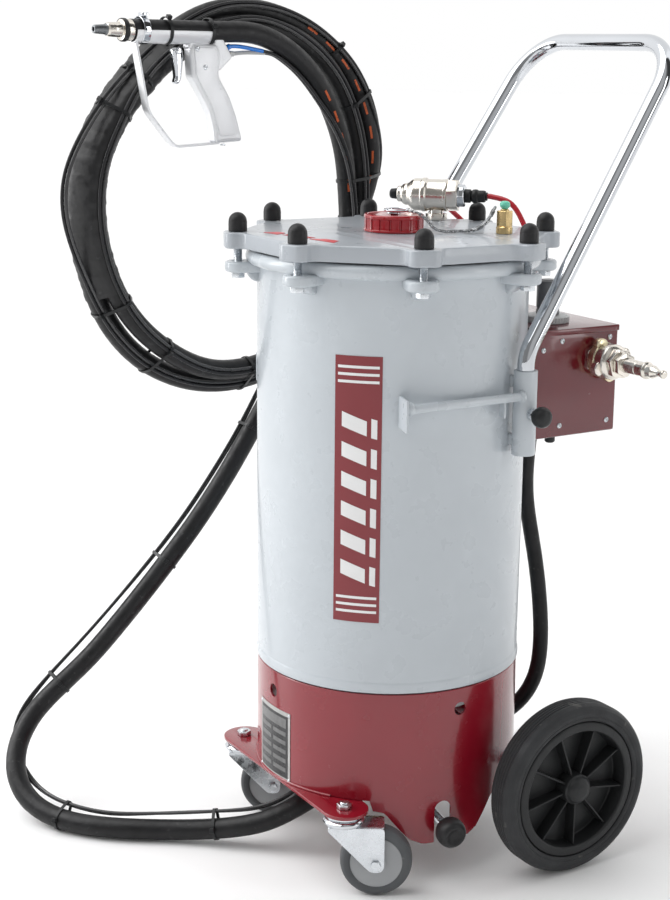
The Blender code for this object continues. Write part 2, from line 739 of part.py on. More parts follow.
def big_wheel(side_name, side):
    """The hub's local Z points away from the vessel, and its zero is the tyre's inner face."""
    place = about_x((side * WHEEL_INNER_X, AXLE_Y, WHEEL_R), side)
    bore = AXLE_R + 2 * GAP
    rim_r = 0.0998
    profile = [(0.0, 0.056), (0.0120, 0.0545), (0.0205, 0.049), (0.0220, 0.026), (0.0840, 0.020),
               (0.0860, 0.046), (rim_r, 0.044), (rim_r, 0.005), (0.0850, 0.003), (0.0840, 0.015),
               (0.0220, 0.015), (0.0200, -0.004), (bore, -0.004), (bore, 0.045), (0.0, 0.045)]
    hub = turned(f"wheel_hub_{side_name}", profile, 20, BLACK_PLASTIC, place=place)
    ribs = []
    for k in range(9):
        rib = box(f"rib_{side_name}_{k}", (0.0215, -0.0015, 0.018), (0.0845, 0.0015, 0.040))
        rib.matrix_local = place @ Matrix.Rotation(2 * math.pi * k / 9, 4, "Z")
        ribs.append(rib)
    unite(hub, *ribs)
    inner = rim_r + 3 * GAP
    tyre = [(inner, 0.044), (0.1130, WHEEL_W), (0.1215, 0.043), (WHEEL_R, 0.035), (WHEEL_R, 0.013),
            (0.1215, 0.005), (0.1130, 0.0), (inner, 0.004)]
    turned(f"wheel_tyre_{side_name}", tyre, 32, TYRE_RUBBER, closed=True, place=place)


def caster(side_name, side):
    """A zinc fork that trails its wheel along local X, on a bolt through the caster plate."""
    place = Matrix.Translation((side * CASTER_X, CASTER_Y, 0)) @ Matrix.Rotation(CASTER_ANGLE, 4, "Z")
    race_top = PLATE_TOP - PLATE_T - GAP
    race = [(0.0, race_top), (0.0230, race_top), (0.0230, 0.1150), (0.0290, 0.1120), (0.0290, 0.1070),
            (0.0250, 0.1035), (0.0, 0.1035)]
    fork = turned(f"caster_fork_{side_name}", race, 16, ZINC, place=place)
    crown = box(f"crown_{side_name}", (-0.0220, -0.0195, 0.1020), (0.0560, 0.0195, 0.1045))
    crown.matrix_local = place
    tools = [crown]
    outline = [(-0.022, 0.1045), (-0.022, 0.0980), (0.034, 0.0420), (0.040, 0.0390), (0.052, 0.0390),
               (0.0565, 0.0440), (0.0565, 0.1045)]
    stand = Matrix.Rotation(math.pi / 2, 4, "X")
    for k, across in enumerate((-0.0195, 0.0195)):
        cheek = plate(f"cheek_{side_name}_{k}", [outline], 0.0025,
                      place=place @ Matrix.Translation((0, across, 0)) @ stand)
        tools.append(cheek)
    tools.append(cylinder(f"caster_axle_{side_name}", 0.004, (CASTER_TRAIL, -0.0240, CASTER_R),
                          (CASTER_TRAIL, 0.0240, CASTER_R), 8))
    tools[-1].matrix_local = place
    tools.append(cylinder(f"caster_stem_{side_name}", 0.006, (0, 0, 0.11), (0, 0, PLATE_TOP + 0.006), 8))
    tools[-1].matrix_local = place
    tools.append(cylinder(f"caster_bolt_{side_name}", 0.0105, (0, 0, PLATE_TOP + GAP),
                          (0, 0, PLATE_TOP + 0.0075), 6))
    tools[-1].matrix_local = place
    unite(fork, *tools)
    bore = 0.0046
    half = CASTER_W / 2
    profile = [(bore, half), (0.0120, half), (0.0130, 0.012), (0.0370, 0.012), (0.0400, 0.0150),
               (0.0460, 0.0140), (CASTER_R, 0.006), (CASTER_R, -0.006), (0.0460, -0.0140),
               (0.0400, -0.0150), (0.0370, -0.012), (0.0130, -0.012), (0.0120, -half), (bore, -half)]
    axle_place = place @ Matrix.Translation((CASTER_TRAIL, 0, CASTER_R)) @ Matrix.Rotation(math.pi / 2, 4,
                                                                                           "X")
    turned(f"caster_wheel_{side_name}", profile, 20, TYRE_RUBBER, closed=True, place=axle_place)


# ---------------------------------------------------------------- outlet valve and lever


def make_outlet_valve():
    """The valve under the neck, with its hose spigot in front and its air port behind."""
    profile = [(0.0, NECK_END_Z - GAP), (0.0240, NECK_END_Z - GAP), (0.0240, 0.156), (0.0180, 0.152),
               (0.0180, 0.128), (0.0230, 0.124), (0.0230, 0.066), (0.0180, 0.062), (0.0, 0.062)]
    valve = turned("outlet_valve", profile, 16, BRASS)
    front = cylinder("outlet_spigot", 0.0145, (0, -0.010, OUTLET_Z), (0, -0.0597, OUTLET_Z), 12)
    rear = cylinder("air_port", 0.0105, (0, 0.010, AIR_PORT_Z), (0, 0.0397, AIR_PORT_Z), 12)
    port = cylinder("line_port", 0.0055, (-0.008, -0.010, 0.140), (-0.008, -0.0297, 0.140), 8)
    radial = Vector((math.cos(SLOT_ANGLE), math.sin(SLOT_ANGLE), 0))
    low = radial * 0.010 + Vector((0, 0, LEVER_PIVOT_Z))
    stub = cylinder("pivot_block", 0.0085, low, radial * 0.0285 + Vector((0, 0, LEVER_PIVOT_Z)), 10)
    return unite(valve, front, rear, port, stub)


def make_outlet_lever():
    """The lever reaches out through the skirt's slot to a round rubber knob."""
    radial = Vector((math.cos(SLOT_ANGLE), math.sin(SLOT_ANGLE), 0))
    across = Vector((0, 0, 1)).cross(radial)
    pivot = radial * LEVER_PIVOT_R + Vector((0, 0, LEVER_PIVOT_Z))
    knob = radial * LEVER_KNOB_R + Vector((0, 0, LEVER_KNOB_Z))
    lever = cylinder("outlet_lever", 0.0070, pivot, knob, 12, BLACK_RUBBER)
    eye = cylinder("lever_eye", 0.0072, pivot - across * 0.010, pivot + across * 0.010, 10)
    aim = (knob - pivot).to_track_quat("Z", "X").to_matrix().to_4x4()
    profile = [(0.0, 0.016), (0.0120, 0.0155), (0.0185, 0.0120), (0.0210, 0.0050), (0.0205, -0.0040),
               (0.0170, -0.0120), (0.0110, -0.0170), (0.0, -0.0180)]
    head = turned("lever_knob", profile, 16, place=Matrix.Translation(knob) @ aim)
    return unite(lever, eye, head)


# ---------------------------------------------------------------- gun


def ring_place(along, up, out=GUN_N):
    return Matrix.Translation((along, up, out))


def make_gun_body():
    """A half-pipe that cradles the hose, with the receiver, grip, port block and guard."""
    outline = [(-0.0530, 0.2220), (-0.0475, 0.2050), (-0.0530, 0.1790), (-0.0350, 0.1520),
               (-0.0230, 0.1240), (-0.0130, 0.0900), (-0.0160, 0.0865), (-0.0560, 0.0845),
               (-0.0590, 0.0880), (-0.0610, 0.1080), (-0.0680, 0.1320), (-0.0900, 0.1680),
               (-0.0960, 0.1760), (-0.0985, 0.2220)]
    body = plate("gun_body", [outline], 0.024, CAST_ALUMINIUM, RING, ring_place(0, 0), 0.005)
    outer = arc((0, 0), 0.0178, 90, 270, 8)
    inner = arc((0, 0), 0.0157, 270, 90, 8)
    quarter = math.pi / 2
    turn = Matrix.Rotation(quarter, 4, "Y") @ Matrix.Rotation(quarter, 4, "Z")
    barrel = plate("gun_barrel", [outer + inner], 0.128, None, RING, ring_place(-0.1210, BARREL_W) @ turn)
    block = plate("gun_ports", [[(-0.0450, 0.2225), (-0.0389, 0.2230), (-0.0245, 0.2045), (-0.0515, 0.1815),
                                 (-0.0650, 0.1900)]], 0.020, None, RING, ring_place(0, 0), 0.002)
    guard = [(-0.1840, 0.2230), (-0.1656, 0.1288), (-0.1308, 0.0876), (-0.1200, 0.0792), (-0.0560, 0.0832),
             (-0.0560, 0.0862), (-0.1190, 0.0823), (-0.1288, 0.0900), (-0.1628, 0.1300), (-0.1800, 0.2230)]
    strip = plate("gun_guard", [guard], 0.013, None, RING, ring_place(0, 0))
    return unite(body, barrel, block, strip)


def make_trigger():
    outline = [(-0.1250, 0.2160), (-0.1060, 0.2160), (-0.1050, 0.2030), (-0.1085, 0.1850),
               (-0.1110, 0.1700), (-0.1185, 0.1660), (-0.1215, 0.1690), (-0.1195, 0.1850),
               (-0.1220, 0.2030)]
    return plate("gun_trigger", [outline], 0.012, CHROME, RING, ring_place(0, 0), 0.001)


def make_gun_nozzle():
    """Nozzle tip, nickel holder, black washer and clamp in one turned piece on the hose's end."""
    profile = [(0.0, 0.0570), (0.0050, 0.0570), (0.0058, 0.0400), (0.0085, 0.0380), (0.0100, 0.0260),
               (0.0100, 0.0160), (0.0155, 0.0150), (0.0155, 0.0080), (0.0145, 0.0070), (0.0145, 0.0),
               (0.0, 0.0)]
    aim = Vector((-1, 0, 0)).to_track_quat("Z", "X").to_matrix().to_4x4()
    return turned("gun_nozzle", profile, 16, NICKEL, RING, place=ring_place(-0.1868, BARREL_W) @ aim)


# ---------------------------------------------------------------- hoses


def hose_route():
    """The blast hose from the outlet, over the floor and up to the ring's far side."""
    return [(0.000, -0.0602, 0.0850), (0.000, -0.085, 0.0850), (-0.002, -0.139, 0.0674),
            (-0.019, -0.187, 0.0430), (-0.053, -0.228, 0.0286), (-0.090, -0.267, 0.0191),
            (-0.124, -0.311, 0.0158), (-0.155, -0.357, 0.0158), (-0.192, -0.398, 0.0158),
            (-0.239, -0.429, 0.0165), (-0.288, -0.451, 0.0284), (-0.328, -0.456, 0.0557),
            (-0.358, -0.441, 0.0909), (-0.375, -0.406, 0.1313), (-0.372, -0.359, 0.1713),
            (-0.363, -0.315, 0.2108), (-0.350, -0.257, 0.2771), (-0.339, -0.201, 0.3449),
            (-0.336, -0.144, 0.4120), (-0.339, -0.089, 0.4812), (-0.344, -0.038, 0.5528),
            (-0.343, 0.012, 0.6334), (-0.339, 0.061, 0.7192), (-0.340, 0.092, 0.7772),
            (-0.340, 0.122, 0.8360)]


def line_route():
    """The twin control line beside the blast hose, from the outlet valve to the ring."""
    return [(-0.008, -0.0301, 0.1400), (-0.008, -0.0500, 0.1400), (-0.011, -0.101, 0.1146),
            (-0.020, -0.145, 0.0780), (-0.040, -0.189, 0.0556), (-0.088, -0.252, 0.0450),
            (-0.138, -0.314, 0.0365), (-0.188, -0.372, 0.0305), (-0.252, -0.417, 0.0350),
            (-0.303, -0.431, 0.0410), (-0.330, -0.435, 0.0475), (-0.352, -0.438, 0.0580),
            (-0.372, -0.439, 0.0735), (-0.385, -0.436, 0.0942), (-0.394, -0.426, 0.1169),
            (-0.396, -0.411, 0.1389), (-0.389, -0.376, 0.1800), (-0.375, -0.319, 0.2400),
            (-0.362, -0.265, 0.3000), (-0.356, -0.211, 0.3580), (-0.355, -0.157, 0.4170),
            (-0.358, -0.106, 0.4787), (-0.363, -0.057, 0.5427), (-0.362, -0.016, 0.6128),
            (-0.351, 0.018, 0.6859), (-0.342, 0.043, 0.7338), (-0.340, 0.072, 0.7875)]


def tail_route():
    """In the ring's frame: the last strand leaves the ring's near face and runs to the gun."""
    strand = [(0.1480, 0.1610), (0.1220, 0.1890), (0.0920, 0.2110), (0.0520, 0.2300), (0.0120, 0.2395),
              (-0.0200, 0.2400), (-0.0450, BARREL_W), (-0.0900, BARREL_W), (-0.1400, BARREL_W),
              (-0.1865, BARREL_W)]
    return [(along, up, GUN_N) for along, up in strand]


def rear_route():
    """The air hose from the box's underside, down behind the vessel and in over the axle."""
    return [(0.020, 0.2350, 0.6029), (0.020, 0.2350, 0.5850), (0.018, 0.2320, 0.5376),
            (0.020, 0.2310, 0.4905), (0.027, 0.2350, 0.4440), (0.037, 0.2390, 0.3980),
            (0.047, 0.2405, 0.3520), (0.057, 0.2390, 0.3060), (0.066, 0.2340, 0.2600),
            (0.072, 0.2210, 0.2153), (0.066, 0.1950, 0.1776), (0.048, 0.1590, 0.1525),
            (0.023, 0.1191, 0.1330), (0.008, 0.0900, 0.1190), (0.000, 0.0580, AIR_PORT_Z),
            (0.000, 0.0401, AIR_PORT_Z)]


def make_hoses():
    tube("blast_hose", smooth_path(hose_route(), 0.045), HOSE_R, 2, BLACK_RUBBER)
    low, high = RING_INNER_R + 0.009, RING_OUTER_R - 0.009
    section = [(high, RING_NEAR_N), (RING_OUTER_R, 0.003), (RING_OUTER_R, -0.030), (high, RING_FAR_N),
               (low, RING_FAR_N), (RING_INNER_R, -0.030), (RING_INNER_R, 0.003), (low, RING_NEAR_N)]
    turned("hose_coil", section, 36, BLACK_RUBBER, RING, closed=True, place=Matrix.Translation(RING_OFFSET))
    tube("hose_tail", smooth_path(tail_route(), 0.035), HOSE_R, 2, BLACK_RUBBER, RING)
    tube("control_line", smooth_path(line_route(), 0.028), LINE_R, 2, BLACK_PLASTIC)
    tube("rear_hose", smooth_path(rear_route(), 0.035), 0.0115, 2, BLACK_RUBBER)


def main():
    make_vessel()
    make_skirt()
    make_caster_plate()
    make_lid()
    make_filler()
    make_clamps()
    make_exhaust_valve()
    make_bleed_valve()
    make_lid_lines()
    make_handle()
    for name, side in (("left", -1), ("right", 1)):
        side_bracket(f"side_bracket_{name}", side)
        lock_knob(f"lock_knob_{name}", side)
        big_wheel(name, side)
        caster(name, side)
    make_axle()
    make_control_box()
    make_regulator()
    make_inlet()
    make_outlet_valve()
    make_outlet_lever()
    make_gun_body()
    make_trigger()
    make_gun_nozzle()
    make_hoses()


main()
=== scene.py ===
"""Looks of the mobile abrasive blasting pot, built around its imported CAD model.

Metres, +Z up, with mm() where a table of points is in millimetres. Dimensions are given from the vessel's
vertical axis, and FRAME puts that axis where the CAD model has it. Each piece is made at rest and rides on
one of the CAD model's bodies.
"""

from math import atan2, copysign, cos, pi, radians, sin, tan

import bmesh
import bpy
from mathutils import Matrix, Vector


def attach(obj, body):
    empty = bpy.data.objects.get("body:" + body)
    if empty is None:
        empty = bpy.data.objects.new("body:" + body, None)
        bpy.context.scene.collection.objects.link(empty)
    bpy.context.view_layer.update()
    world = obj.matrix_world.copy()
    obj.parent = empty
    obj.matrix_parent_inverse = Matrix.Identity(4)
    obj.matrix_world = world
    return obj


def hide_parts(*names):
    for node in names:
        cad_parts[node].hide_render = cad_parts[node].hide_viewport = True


at = Matrix.Translation


def mm(*points):
    """Points given in millimetres."""
    return [tuple(value / 1000 for value in point) for point in points]


FRAME = at((0, -0.036, 0))

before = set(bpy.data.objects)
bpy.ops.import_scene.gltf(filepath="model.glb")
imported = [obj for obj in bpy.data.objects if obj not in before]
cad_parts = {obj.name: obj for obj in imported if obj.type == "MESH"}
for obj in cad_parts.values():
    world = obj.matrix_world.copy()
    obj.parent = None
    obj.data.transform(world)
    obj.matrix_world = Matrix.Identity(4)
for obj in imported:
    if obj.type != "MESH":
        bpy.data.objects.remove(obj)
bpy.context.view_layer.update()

# Camera
CAMERA_AT = Vector((1.9625, -1.2614, 1.1348))
CAMERA_AZIMUTH = radians(57.27)
CAMERA_PITCH = radians(13.07)
CAMERA_ROLL = radians(0.965)
CAMERA_LENS = 66.99
CAMERA_SHIFT = (-0.0616, -0.0099)

# Vessel, skirt and lid
VESSEL_R = 0.19
WALL = 0.003
JUNCTION_Z = 0.282
RIM_Z = 0.869
BEAD_R = 0.01
BEAD_CENTRE_R = 0.196
NECK_R = 0.02
NECK_END_Z = 0.17
PLATE_TOP = 0.1245
SKIRT_LOW_Z = 0.11
LOBE_LOW_Z = 0.0585
BOLT_COUNT = 8
BOLT_CIRCLE_R = 0.217
BOLT_PHASE = radians(22.5)
BOLT_R = 0.006
LID_Z = 0.871
LID_T = 0.022
LID_TOP = LID_Z + LID_T
LID_APOTHEM = 0.204
EAR_END_R = 0.236
EAR_HALF_W = 0.022
LUG_TOP_Z = 0.853
LUG_T = 0.015
SLOT_ANGLE = radians(-7.3)

# Running gear
AXLE_Y = 0.154
WHEEL_R = 0.125
WHEEL_INNER_X = 0.22
CASTER_X = 0.147
CASTER_Y = -0.16
CASTER_R = 0.05
CASTER_TRAIL = 0.045
CASTER_ANGLE = radians(57.3)

# Handle, control box and fittings
HANDLE_R = 0.012
LEG = Vector((0.1888, 0.0941, 0.612))
GRIP = Vector((0.1678, 0.3614, 1.1543))
BEND_Z = 0.7421
KNOB_Z = 0.6615
ROD_X = 0.2
ROD_Z = 0.6865
BOX_X = 0.13
BOX_TOP_Z = 0.7585
BOX_LOW_Z = 0.6033
INLET = Vector((BOX_X, 0.268, 0.712))
REGULATOR = Vector((0.064, 0.225, BOX_TOP_Z))
VALVE_FOOT = Vector((-0.107, 0.143, LID_TOP))
VALVE_H = 0.037
BLEED = Vector((0.092, 0.122, LID_TOP))
OUTLET_Z = 0.085
AIR_PORT_Z = 0.112

# Hose ring and gun
HOSE_R = 0.015
LINE_R = 0.0025
REAR_R = 0.0115
TIE_WIDTH = 0.0046
TIE_THICK = 0.0012
TIE_GAP = 0.0006
RING_CENTRE = Vector((-0.255, -0.118, 0.92))
RING_TILT = radians(-5.7)
GUN_N = 0.034
BARREL_W = 0.2385


def ring_frame():
    """Local X runs back along the ring, local Y runs up, and local Z points at the vessel."""
    along = Vector((sin(RING_TILT), cos(RING_TILT), 0))
    up = Vector((0, 0, 1))
    rows = Matrix((along, up, along.cross(up))).transposed().to_4x4()
    return at(RING_CENTRE) @ rows


RING = ring_frame()
RING_TURN = RING.to_3x3()
HERE = Matrix.Identity(4)
STAND = Matrix.Rotation(pi / 2, 4, "X")
RADIAL = Vector((cos(SLOT_ANGLE), sin(SLOT_ANGLE), 0))


def aimed(direction, axis="Z", up="X"):
    """Turns an axis along a direction."""
    return Vector(direction).to_track_quat(axis, up).to_matrix().to_4x4()


def linked(name, data, place=None):
    """Adds an object to the scene. A place is measured from the vessel's axis."""
    obj = bpy.data.objects.new(name, data)
    bpy.context.scene.collection.objects.link(obj)
    if place is not None:
        obj.matrix_world = FRAME @ place
    return obj


def make_camera():
    ahead = Vector((-sin(CAMERA_AZIMUTH), cos(CAMERA_AZIMUTH), 0))
    right = Vector((cos(CAMERA_AZIMUTH), sin(CAMERA_AZIMUTH), 0))
    up = Vector((0, 0, 1))
    look = ahead * cos(CAMERA_PITCH) - up * sin(CAMERA_PITCH)
    over = ahead * sin(CAMERA_PITCH) + up * cos(CAMERA_PITCH)
    side = right * cos(CAMERA_ROLL) + over * sin(CAMERA_ROLL)
    top = over * cos(CAMERA_ROLL) - right * sin(CAMERA_ROLL)
    data = bpy.data.cameras.new("camera")
    data.sensor_width = 36
    data.lens = CAMERA_LENS
    data.shift_x, data.shift_y = CAMERA_SHIFT
    data.clip_start, data.clip_end = 0.05, 50
    turn = Matrix((side, top, -look)).transposed().to_4x4()
    bpy.context.scene.camera = linked("camera", data, at(CAMERA_AT) @ turn)


make_camera()


# ---------------------------------------------------------------- materials


def feed(tree, target, inputs):
    """Sets a shader node's inputs to values, or links them from other nodes' outputs."""
    for key, value in inputs.items():
        if isinstance(value, bpy.types.NodeSocket):
            tree.links.new(value, target.inputs[key])
        else:
            target.inputs[key].default_value = value


def add_node(tree, kind, inputs, **settings):
    """Adds a shader node and returns its outputs."""
    made = tree.nodes.new("ShaderNode" + kind)
    for key, value in settings.items():
        setattr(made, key, value)
    feed(tree, made, inputs)
    return made.outputs


def material(name, colour, roughness, metallic=0.0, coat=0.0, tone=0.15, tone_scale=9, sheen=0.06, grain=0.06,
        grain_scale=320, specular=0.5, specks=None):
    """A finish with uneven tone, gloss and relief, and (colour, share, scale) specks of dust or wear."""
    mat = bpy.data.materials.new(name)
    mat.use_nodes = True
    tree = mat.node_tree
    shader = tree.nodes["Principled BSDF"]
    feed(tree, shader, {"Base Color": (*colour, 1), "Roughness": roughness, "Metallic": metallic,
        "Coat Weight": coat, "Coat Roughness": 0.06, "Specular IOR Level": specular})
    place = tree.nodes.new("ShaderNodeTexCoord").outputs["Object"]

    def noise(scale, detail):
        return add_node(tree, "TexNoise", {"Scale": scale, "Detail": detail, "Vector": place})["Fac"]

    def span(value, low, high, first=0.3, last=0.7):
        ends = {"From Min": first, "From Max": last, "To Min": low, "To Max": high}
        return add_node(tree, "MapRange", {**ends, "Value": value})["Result"]

    def mixed(share, first, second):
        return add_node(tree, "Mix", {0: share, 6: first, 7: second}, data_type="RGBA")[2]

    dark = (*[c * (1 - tone) for c in colour], 1)
    light = (*[min(1.0, c * (1 + tone)) for c in colour], 1)
    tint = mixed(span(noise(tone_scale, 5), 0, 1), dark, light)
    if specks:
        speck, share, scale = specks
        tint = mixed(span(noise(scale, 8), 0, 1, 1 - share, 1.05 - share), tint, (*speck, 1))
    gloss = span(noise(tone_scale * 3.1, 6), max(0.02, roughness - sheen), min(1.0, roughness + sheen))
    relief = add_node(tree, "Bump", {"Strength": grain, "Distance": 0.001, "Height": noise(grain_scale, 3)})
    feed(tree, shader, {"Base Color": tint, "Roughness": gloss, "Normal": relief["Normal"]})
    return mat


GREY_PAINT = material("grey_paint", (0.5, 0.54, 0.575), 0.3, coat=0.35, tone=0.03, grain=0.05, grain_scale=90,
    specks=((0.487, 0.527, 0.562), 0.27, 26))
LID_PAINT = material("lid_paint", (0.4, 0.43, 0.465), 0.32, coat=0.3, tone=0.03, tone_scale=14,
    grain_scale=60, specks=((0.36, 0.385, 0.415), 0.28, 34))
RED_PAINT = material("red_paint", (0.235, 0.004, 0.014), 0.24, coat=0.6, tone=0.05, grain_scale=70,
    specks=((0.17, 0.006, 0.012), 0.27, 30))
BOX_PAINT = material("box_paint", (0.115, 0.003, 0.009), 0.22, coat=0.6, tone=0.07, grain_scale=80,
    specks=((0.1, 0.006, 0.01), 0.28, 40))
RED_PLASTIC = material("red_plastic", (0.38, 0.002, 0.009), 0.22, coat=0.5, tone=0.05, grain=0.05,
    specks=((0.3, 0.004, 0.01), 0.28, 60))
RED_TUBE = material("red_tube", (0.45, 0.005, 0.016), 0.2, coat=0.5, tone=0.04, grain=0.03)
CHROME = material("chrome", (0.62, 0.64, 0.67), 0.06, 1.0, tone=0.04, sheen=0.03, grain=0.02, grain_scale=120,
    specks=((0.55, 0.57, 0.6), 0.26, 46))
ZINC = material("zinc", (0.66, 0.69, 0.72), 0.27, 1.0, tone=0.08, tone_scale=30, sheen=0.1, grain=0.1,
    grain_scale=240, specks=((0.46, 0.48, 0.5), 0.32, 90))
CHAIN_ZINC = material("chain_zinc", (0.36, 0.37, 0.38), 0.26, 1.0, tone=0.12, tone_scale=60, sheen=0.1,
    grain=0.1)
NICKEL = material("nickel", (0.74, 0.7, 0.64), 0.2, 1.0, tone=0.06, tone_scale=26, sheen=0.08, grain=0.08,
    specks=((0.58, 0.54, 0.48), 0.3, 80))
BRASS = material("brass", (0.66, 0.49, 0.24), 0.26, 1.0, tone=0.1, tone_scale=24, sheen=0.1, grain=0.08,
    specks=((0.4, 0.28, 0.13), 0.33, 70))
PALE_BRASS = material("pale_brass", (0.74, 0.66, 0.46), 0.25, 1.0, tone=0.08, tone_scale=24, sheen=0.1,
    grain=0.08)
CAST_ALUMINIUM = material("cast_aluminium", (0.78, 0.79, 0.81), 0.36, 0.55, tone=0.04, sheen=0.08, grain=0.3,
    grain_scale=700, specks=((0.58, 0.59, 0.61), 0.3, 60))
# Dark steel for the nozzle tip, and painted shade for the screw slots: raised dark crosses stand in for the
# shadowed slot recesses.
STEEL_GREY_AND_SLOT_SHADE = material("steel_grey_and_slot_shade", (0.2, 0.21, 0.22), 0.34, 1.0, tone=0.1, tone_scale=40, sheen=0.08,
    grain=0.08)
HOSE_RUBBER = material("hose_rubber", (0.012, 0.012, 0.013), 0.42, tone=0.3, tone_scale=30, sheen=0.12,
    grain=0.55, grain_scale=110, specular=0.3, specks=((0.03, 0.03, 0.031), 0.36, 120))
TAPE = material("tape", (0.014, 0.014, 0.015), 0.4, tone=0.25, tone_scale=26, sheen=0.12, grain=0.5,
    grain_scale=70, specular=0.35, specks=((0.028, 0.028, 0.03), 0.34, 60))
BLACK_RUBBER = material("black_rubber", (0.018, 0.018, 0.019), 0.44, tone=0.2, tone_scale=40, sheen=0.1,
    grain=0.2, grain_scale=260, specular=0.3, specks=((0.05, 0.05, 0.05), 0.31, 140))
BLACK_PLASTIC = material("black_plastic", (0.016, 0.017, 0.018), 0.36, tone_scale=30, sheen=0.1, grain=0.16,
    specular=0.3, specks=((0.04, 0.04, 0.042), 0.3, 90))
HUB_PLASTIC = material("hub_plastic", (0.02, 0.021, 0.022), 0.4, tone_scale=20, sheen=0.1, grain=0.14,
    grain_scale=500, specular=0.3, specks=((0.045, 0.045, 0.047), 0.31, 60))
GREY_PLASTIC = material("grey_plastic", (0.1, 0.105, 0.11), 0.38, tone=0.1, sheen=0.08, grain=0.12)
PALE_PLASTIC = material("pale_plastic", (0.55, 0.56, 0.56), 0.42, tone=0.06, sheen=0.08, grain=0.12)
MINT_PLASTIC = material("mint_plastic", (0.16, 0.62, 0.45), 0.36, tone=0.06, grain=0.1)
TYRE_RUBBER = material("tyre_rubber", (0.03, 0.031, 0.033), 0.58, tone=0.16, tone_scale=18, sheen=0.12,
    grain=0.35, grain_scale=420, specular=0.3, specks=((0.075, 0.073, 0.07), 0.33, 45))
GREY_RUBBER = material("grey_rubber", (0.085, 0.09, 0.095), 0.5, tone=0.12, tone_scale=22, sheen=0.1,
    grain=0.25, grain_scale=420, specular=0.3, specks=((0.14, 0.14, 0.14), 0.32, 60))
CASTER_CORE = material("caster_core", (0.33, 0.34, 0.35), 0.4, tone=0.1, sheen=0.08, grain=0.12)
LINE_BLACK = material("line_black", (0.02, 0.02, 0.022), 0.3, specular=0.3)
LINE_DARK = material("line_dark", (0.045, 0.045, 0.047), 0.24)
LINE_PALE = material("line_pale", (0.42, 0.43, 0.44), 0.3, tone=0.08)
LINE_BLUE = material("line_blue", (0.01, 0.2, 0.72), 0.26, coat=0.3, tone=0.06, grain=0.05)
MARK_ORANGE = material("mark_orange", (0.6, 0.1, 0.015), 0.5, tone_scale=160, sheen=0.1, grain=0.3,
    specks=((0.1, 0.02, 0.01), 0.4, 300))
DECAL_RED = material("decal_red", (0.215, 0.02, 0.027), 0.34, coat=0.2, tone=0.04, grain=0.03)
DECAL_WHITE = material("decal_white", (0.8, 0.8, 0.8), 0.36, tone=0.03, grain=0.03)
STICKER_RED = material("sticker_red", (0.62, 0.05, 0.06), 0.4, tone=0.06, grain=0.03)
PLATE_GREY = material("plate_grey", (0.06, 0.06, 0.062), 0.3, 0.6, tone=0.12, tone_scale=60, sheen=0.08,
    grain=0.1)
PLATE_MARK = material("plate_mark", (0.17, 0.17, 0.17), 0.36, 0.4, tone_scale=120, sheen=0.08, grain=0.1)
PLATE_PALE = material("plate_pale", (0.46, 0.46, 0.45), 0.36, 0.5, tone=0.1, tone_scale=90, sheen=0.08,
    grain=0.1)


# ---------------------------------------------------------------- shapes


def put(name, data, mat, place=HERE, body="pot", node="", slot=None):
    """Adds a piece in its own place, on a CAD body, and hides the CAD nodes that it stands for."""
    data.materials.append(mat)
    obj = linked(name, data, place)
    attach(obj, body)
    if node:
        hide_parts(*node.split())
    return obj


def smooth_shaded(mesh, angle=38):
    mesh.shade_smooth()
    mesh.set_sharp_from_angle(angle=radians(angle))


def mesh_of(name, build, angle=38):
    mesh = bpy.data.meshes.new(name)
    bm = bmesh.new()
    build(bm)
    bmesh.ops.remove_doubles(bm, verts=bm.verts, dist=0.000001)
    bmesh.ops.recalc_face_normals(bm, faces=bm.faces)
    bm.to_mesh(mesh)
    bm.free()
    smooth_shaded(mesh, angle)
    return mesh


def skin(bm, rings, around=True, along=False):
    """Faces between rings of points. Around closes each ring, and along joins the last ring to the first."""
    for ring, after in zip(rings, rings[1:] + rings[:1] if along else rings[1:]):
        for i in range(len(ring) if around else len(ring) - 1):
            j = (i + 1) % len(ring)
            bm.faces.new((ring[i], after[i], after[j], ring[j]))


def rounded(points, radius, closed=False, steps=3):
    """Rounds the corners of a 2-D line, as far as its short sides allow."""
    points = [Vector(p) for p in points]
    ring = [points[-1]] + points + [points[0]] if closed else points
    line = [] if closed else [points[0]]
    for before, corner, after in zip(ring, ring[1:], ring[2:]):
        back, ahead = before - corner, after - corner
        reach = min(radius, back.length * 0.45, ahead.length * 0.45)
        first = corner + back.normalized() * reach
        last = corner + ahead.normalized() * reach
        for i in range(steps + 1):
            t = i / steps
            line.append((1 - t) ** 2 * first + 2 * t * (1 - t) * corner + t * t * last)
    return line if closed else line + [points[-1]]


def turned(name, profile, mat, place=HERE, steps=64, closed=False, rounding=0.0008, wave=None, **where):
    """Turns (radius, height) points about local Z. A wave changes the radius at (angle, radius, height)."""
    line = rounded(profile, rounding, closed) if rounding else [Vector(p) for p in profile]

    def build(bm):
        rings = []
        for k in range(steps):
            a = 2 * pi * k / steps
            ring = []
            for r, h in line:
                r = max(0.0, r + (wave(a, r, h) if wave else 0.0))
                ring.append(bm.verts.new((r * cos(a), r * sin(a), h)))
            rings.append(ring)
        skin(bm, rings, closed, True)
        bmesh.ops.remove_doubles(bm, verts=bm.verts, dist=0.000001)
        bmesh.ops.dissolve_degenerate(bm, edges=bm.edges, dist=0.000001)

    return put(name, mesh_of(name, build), mat, place, **where)


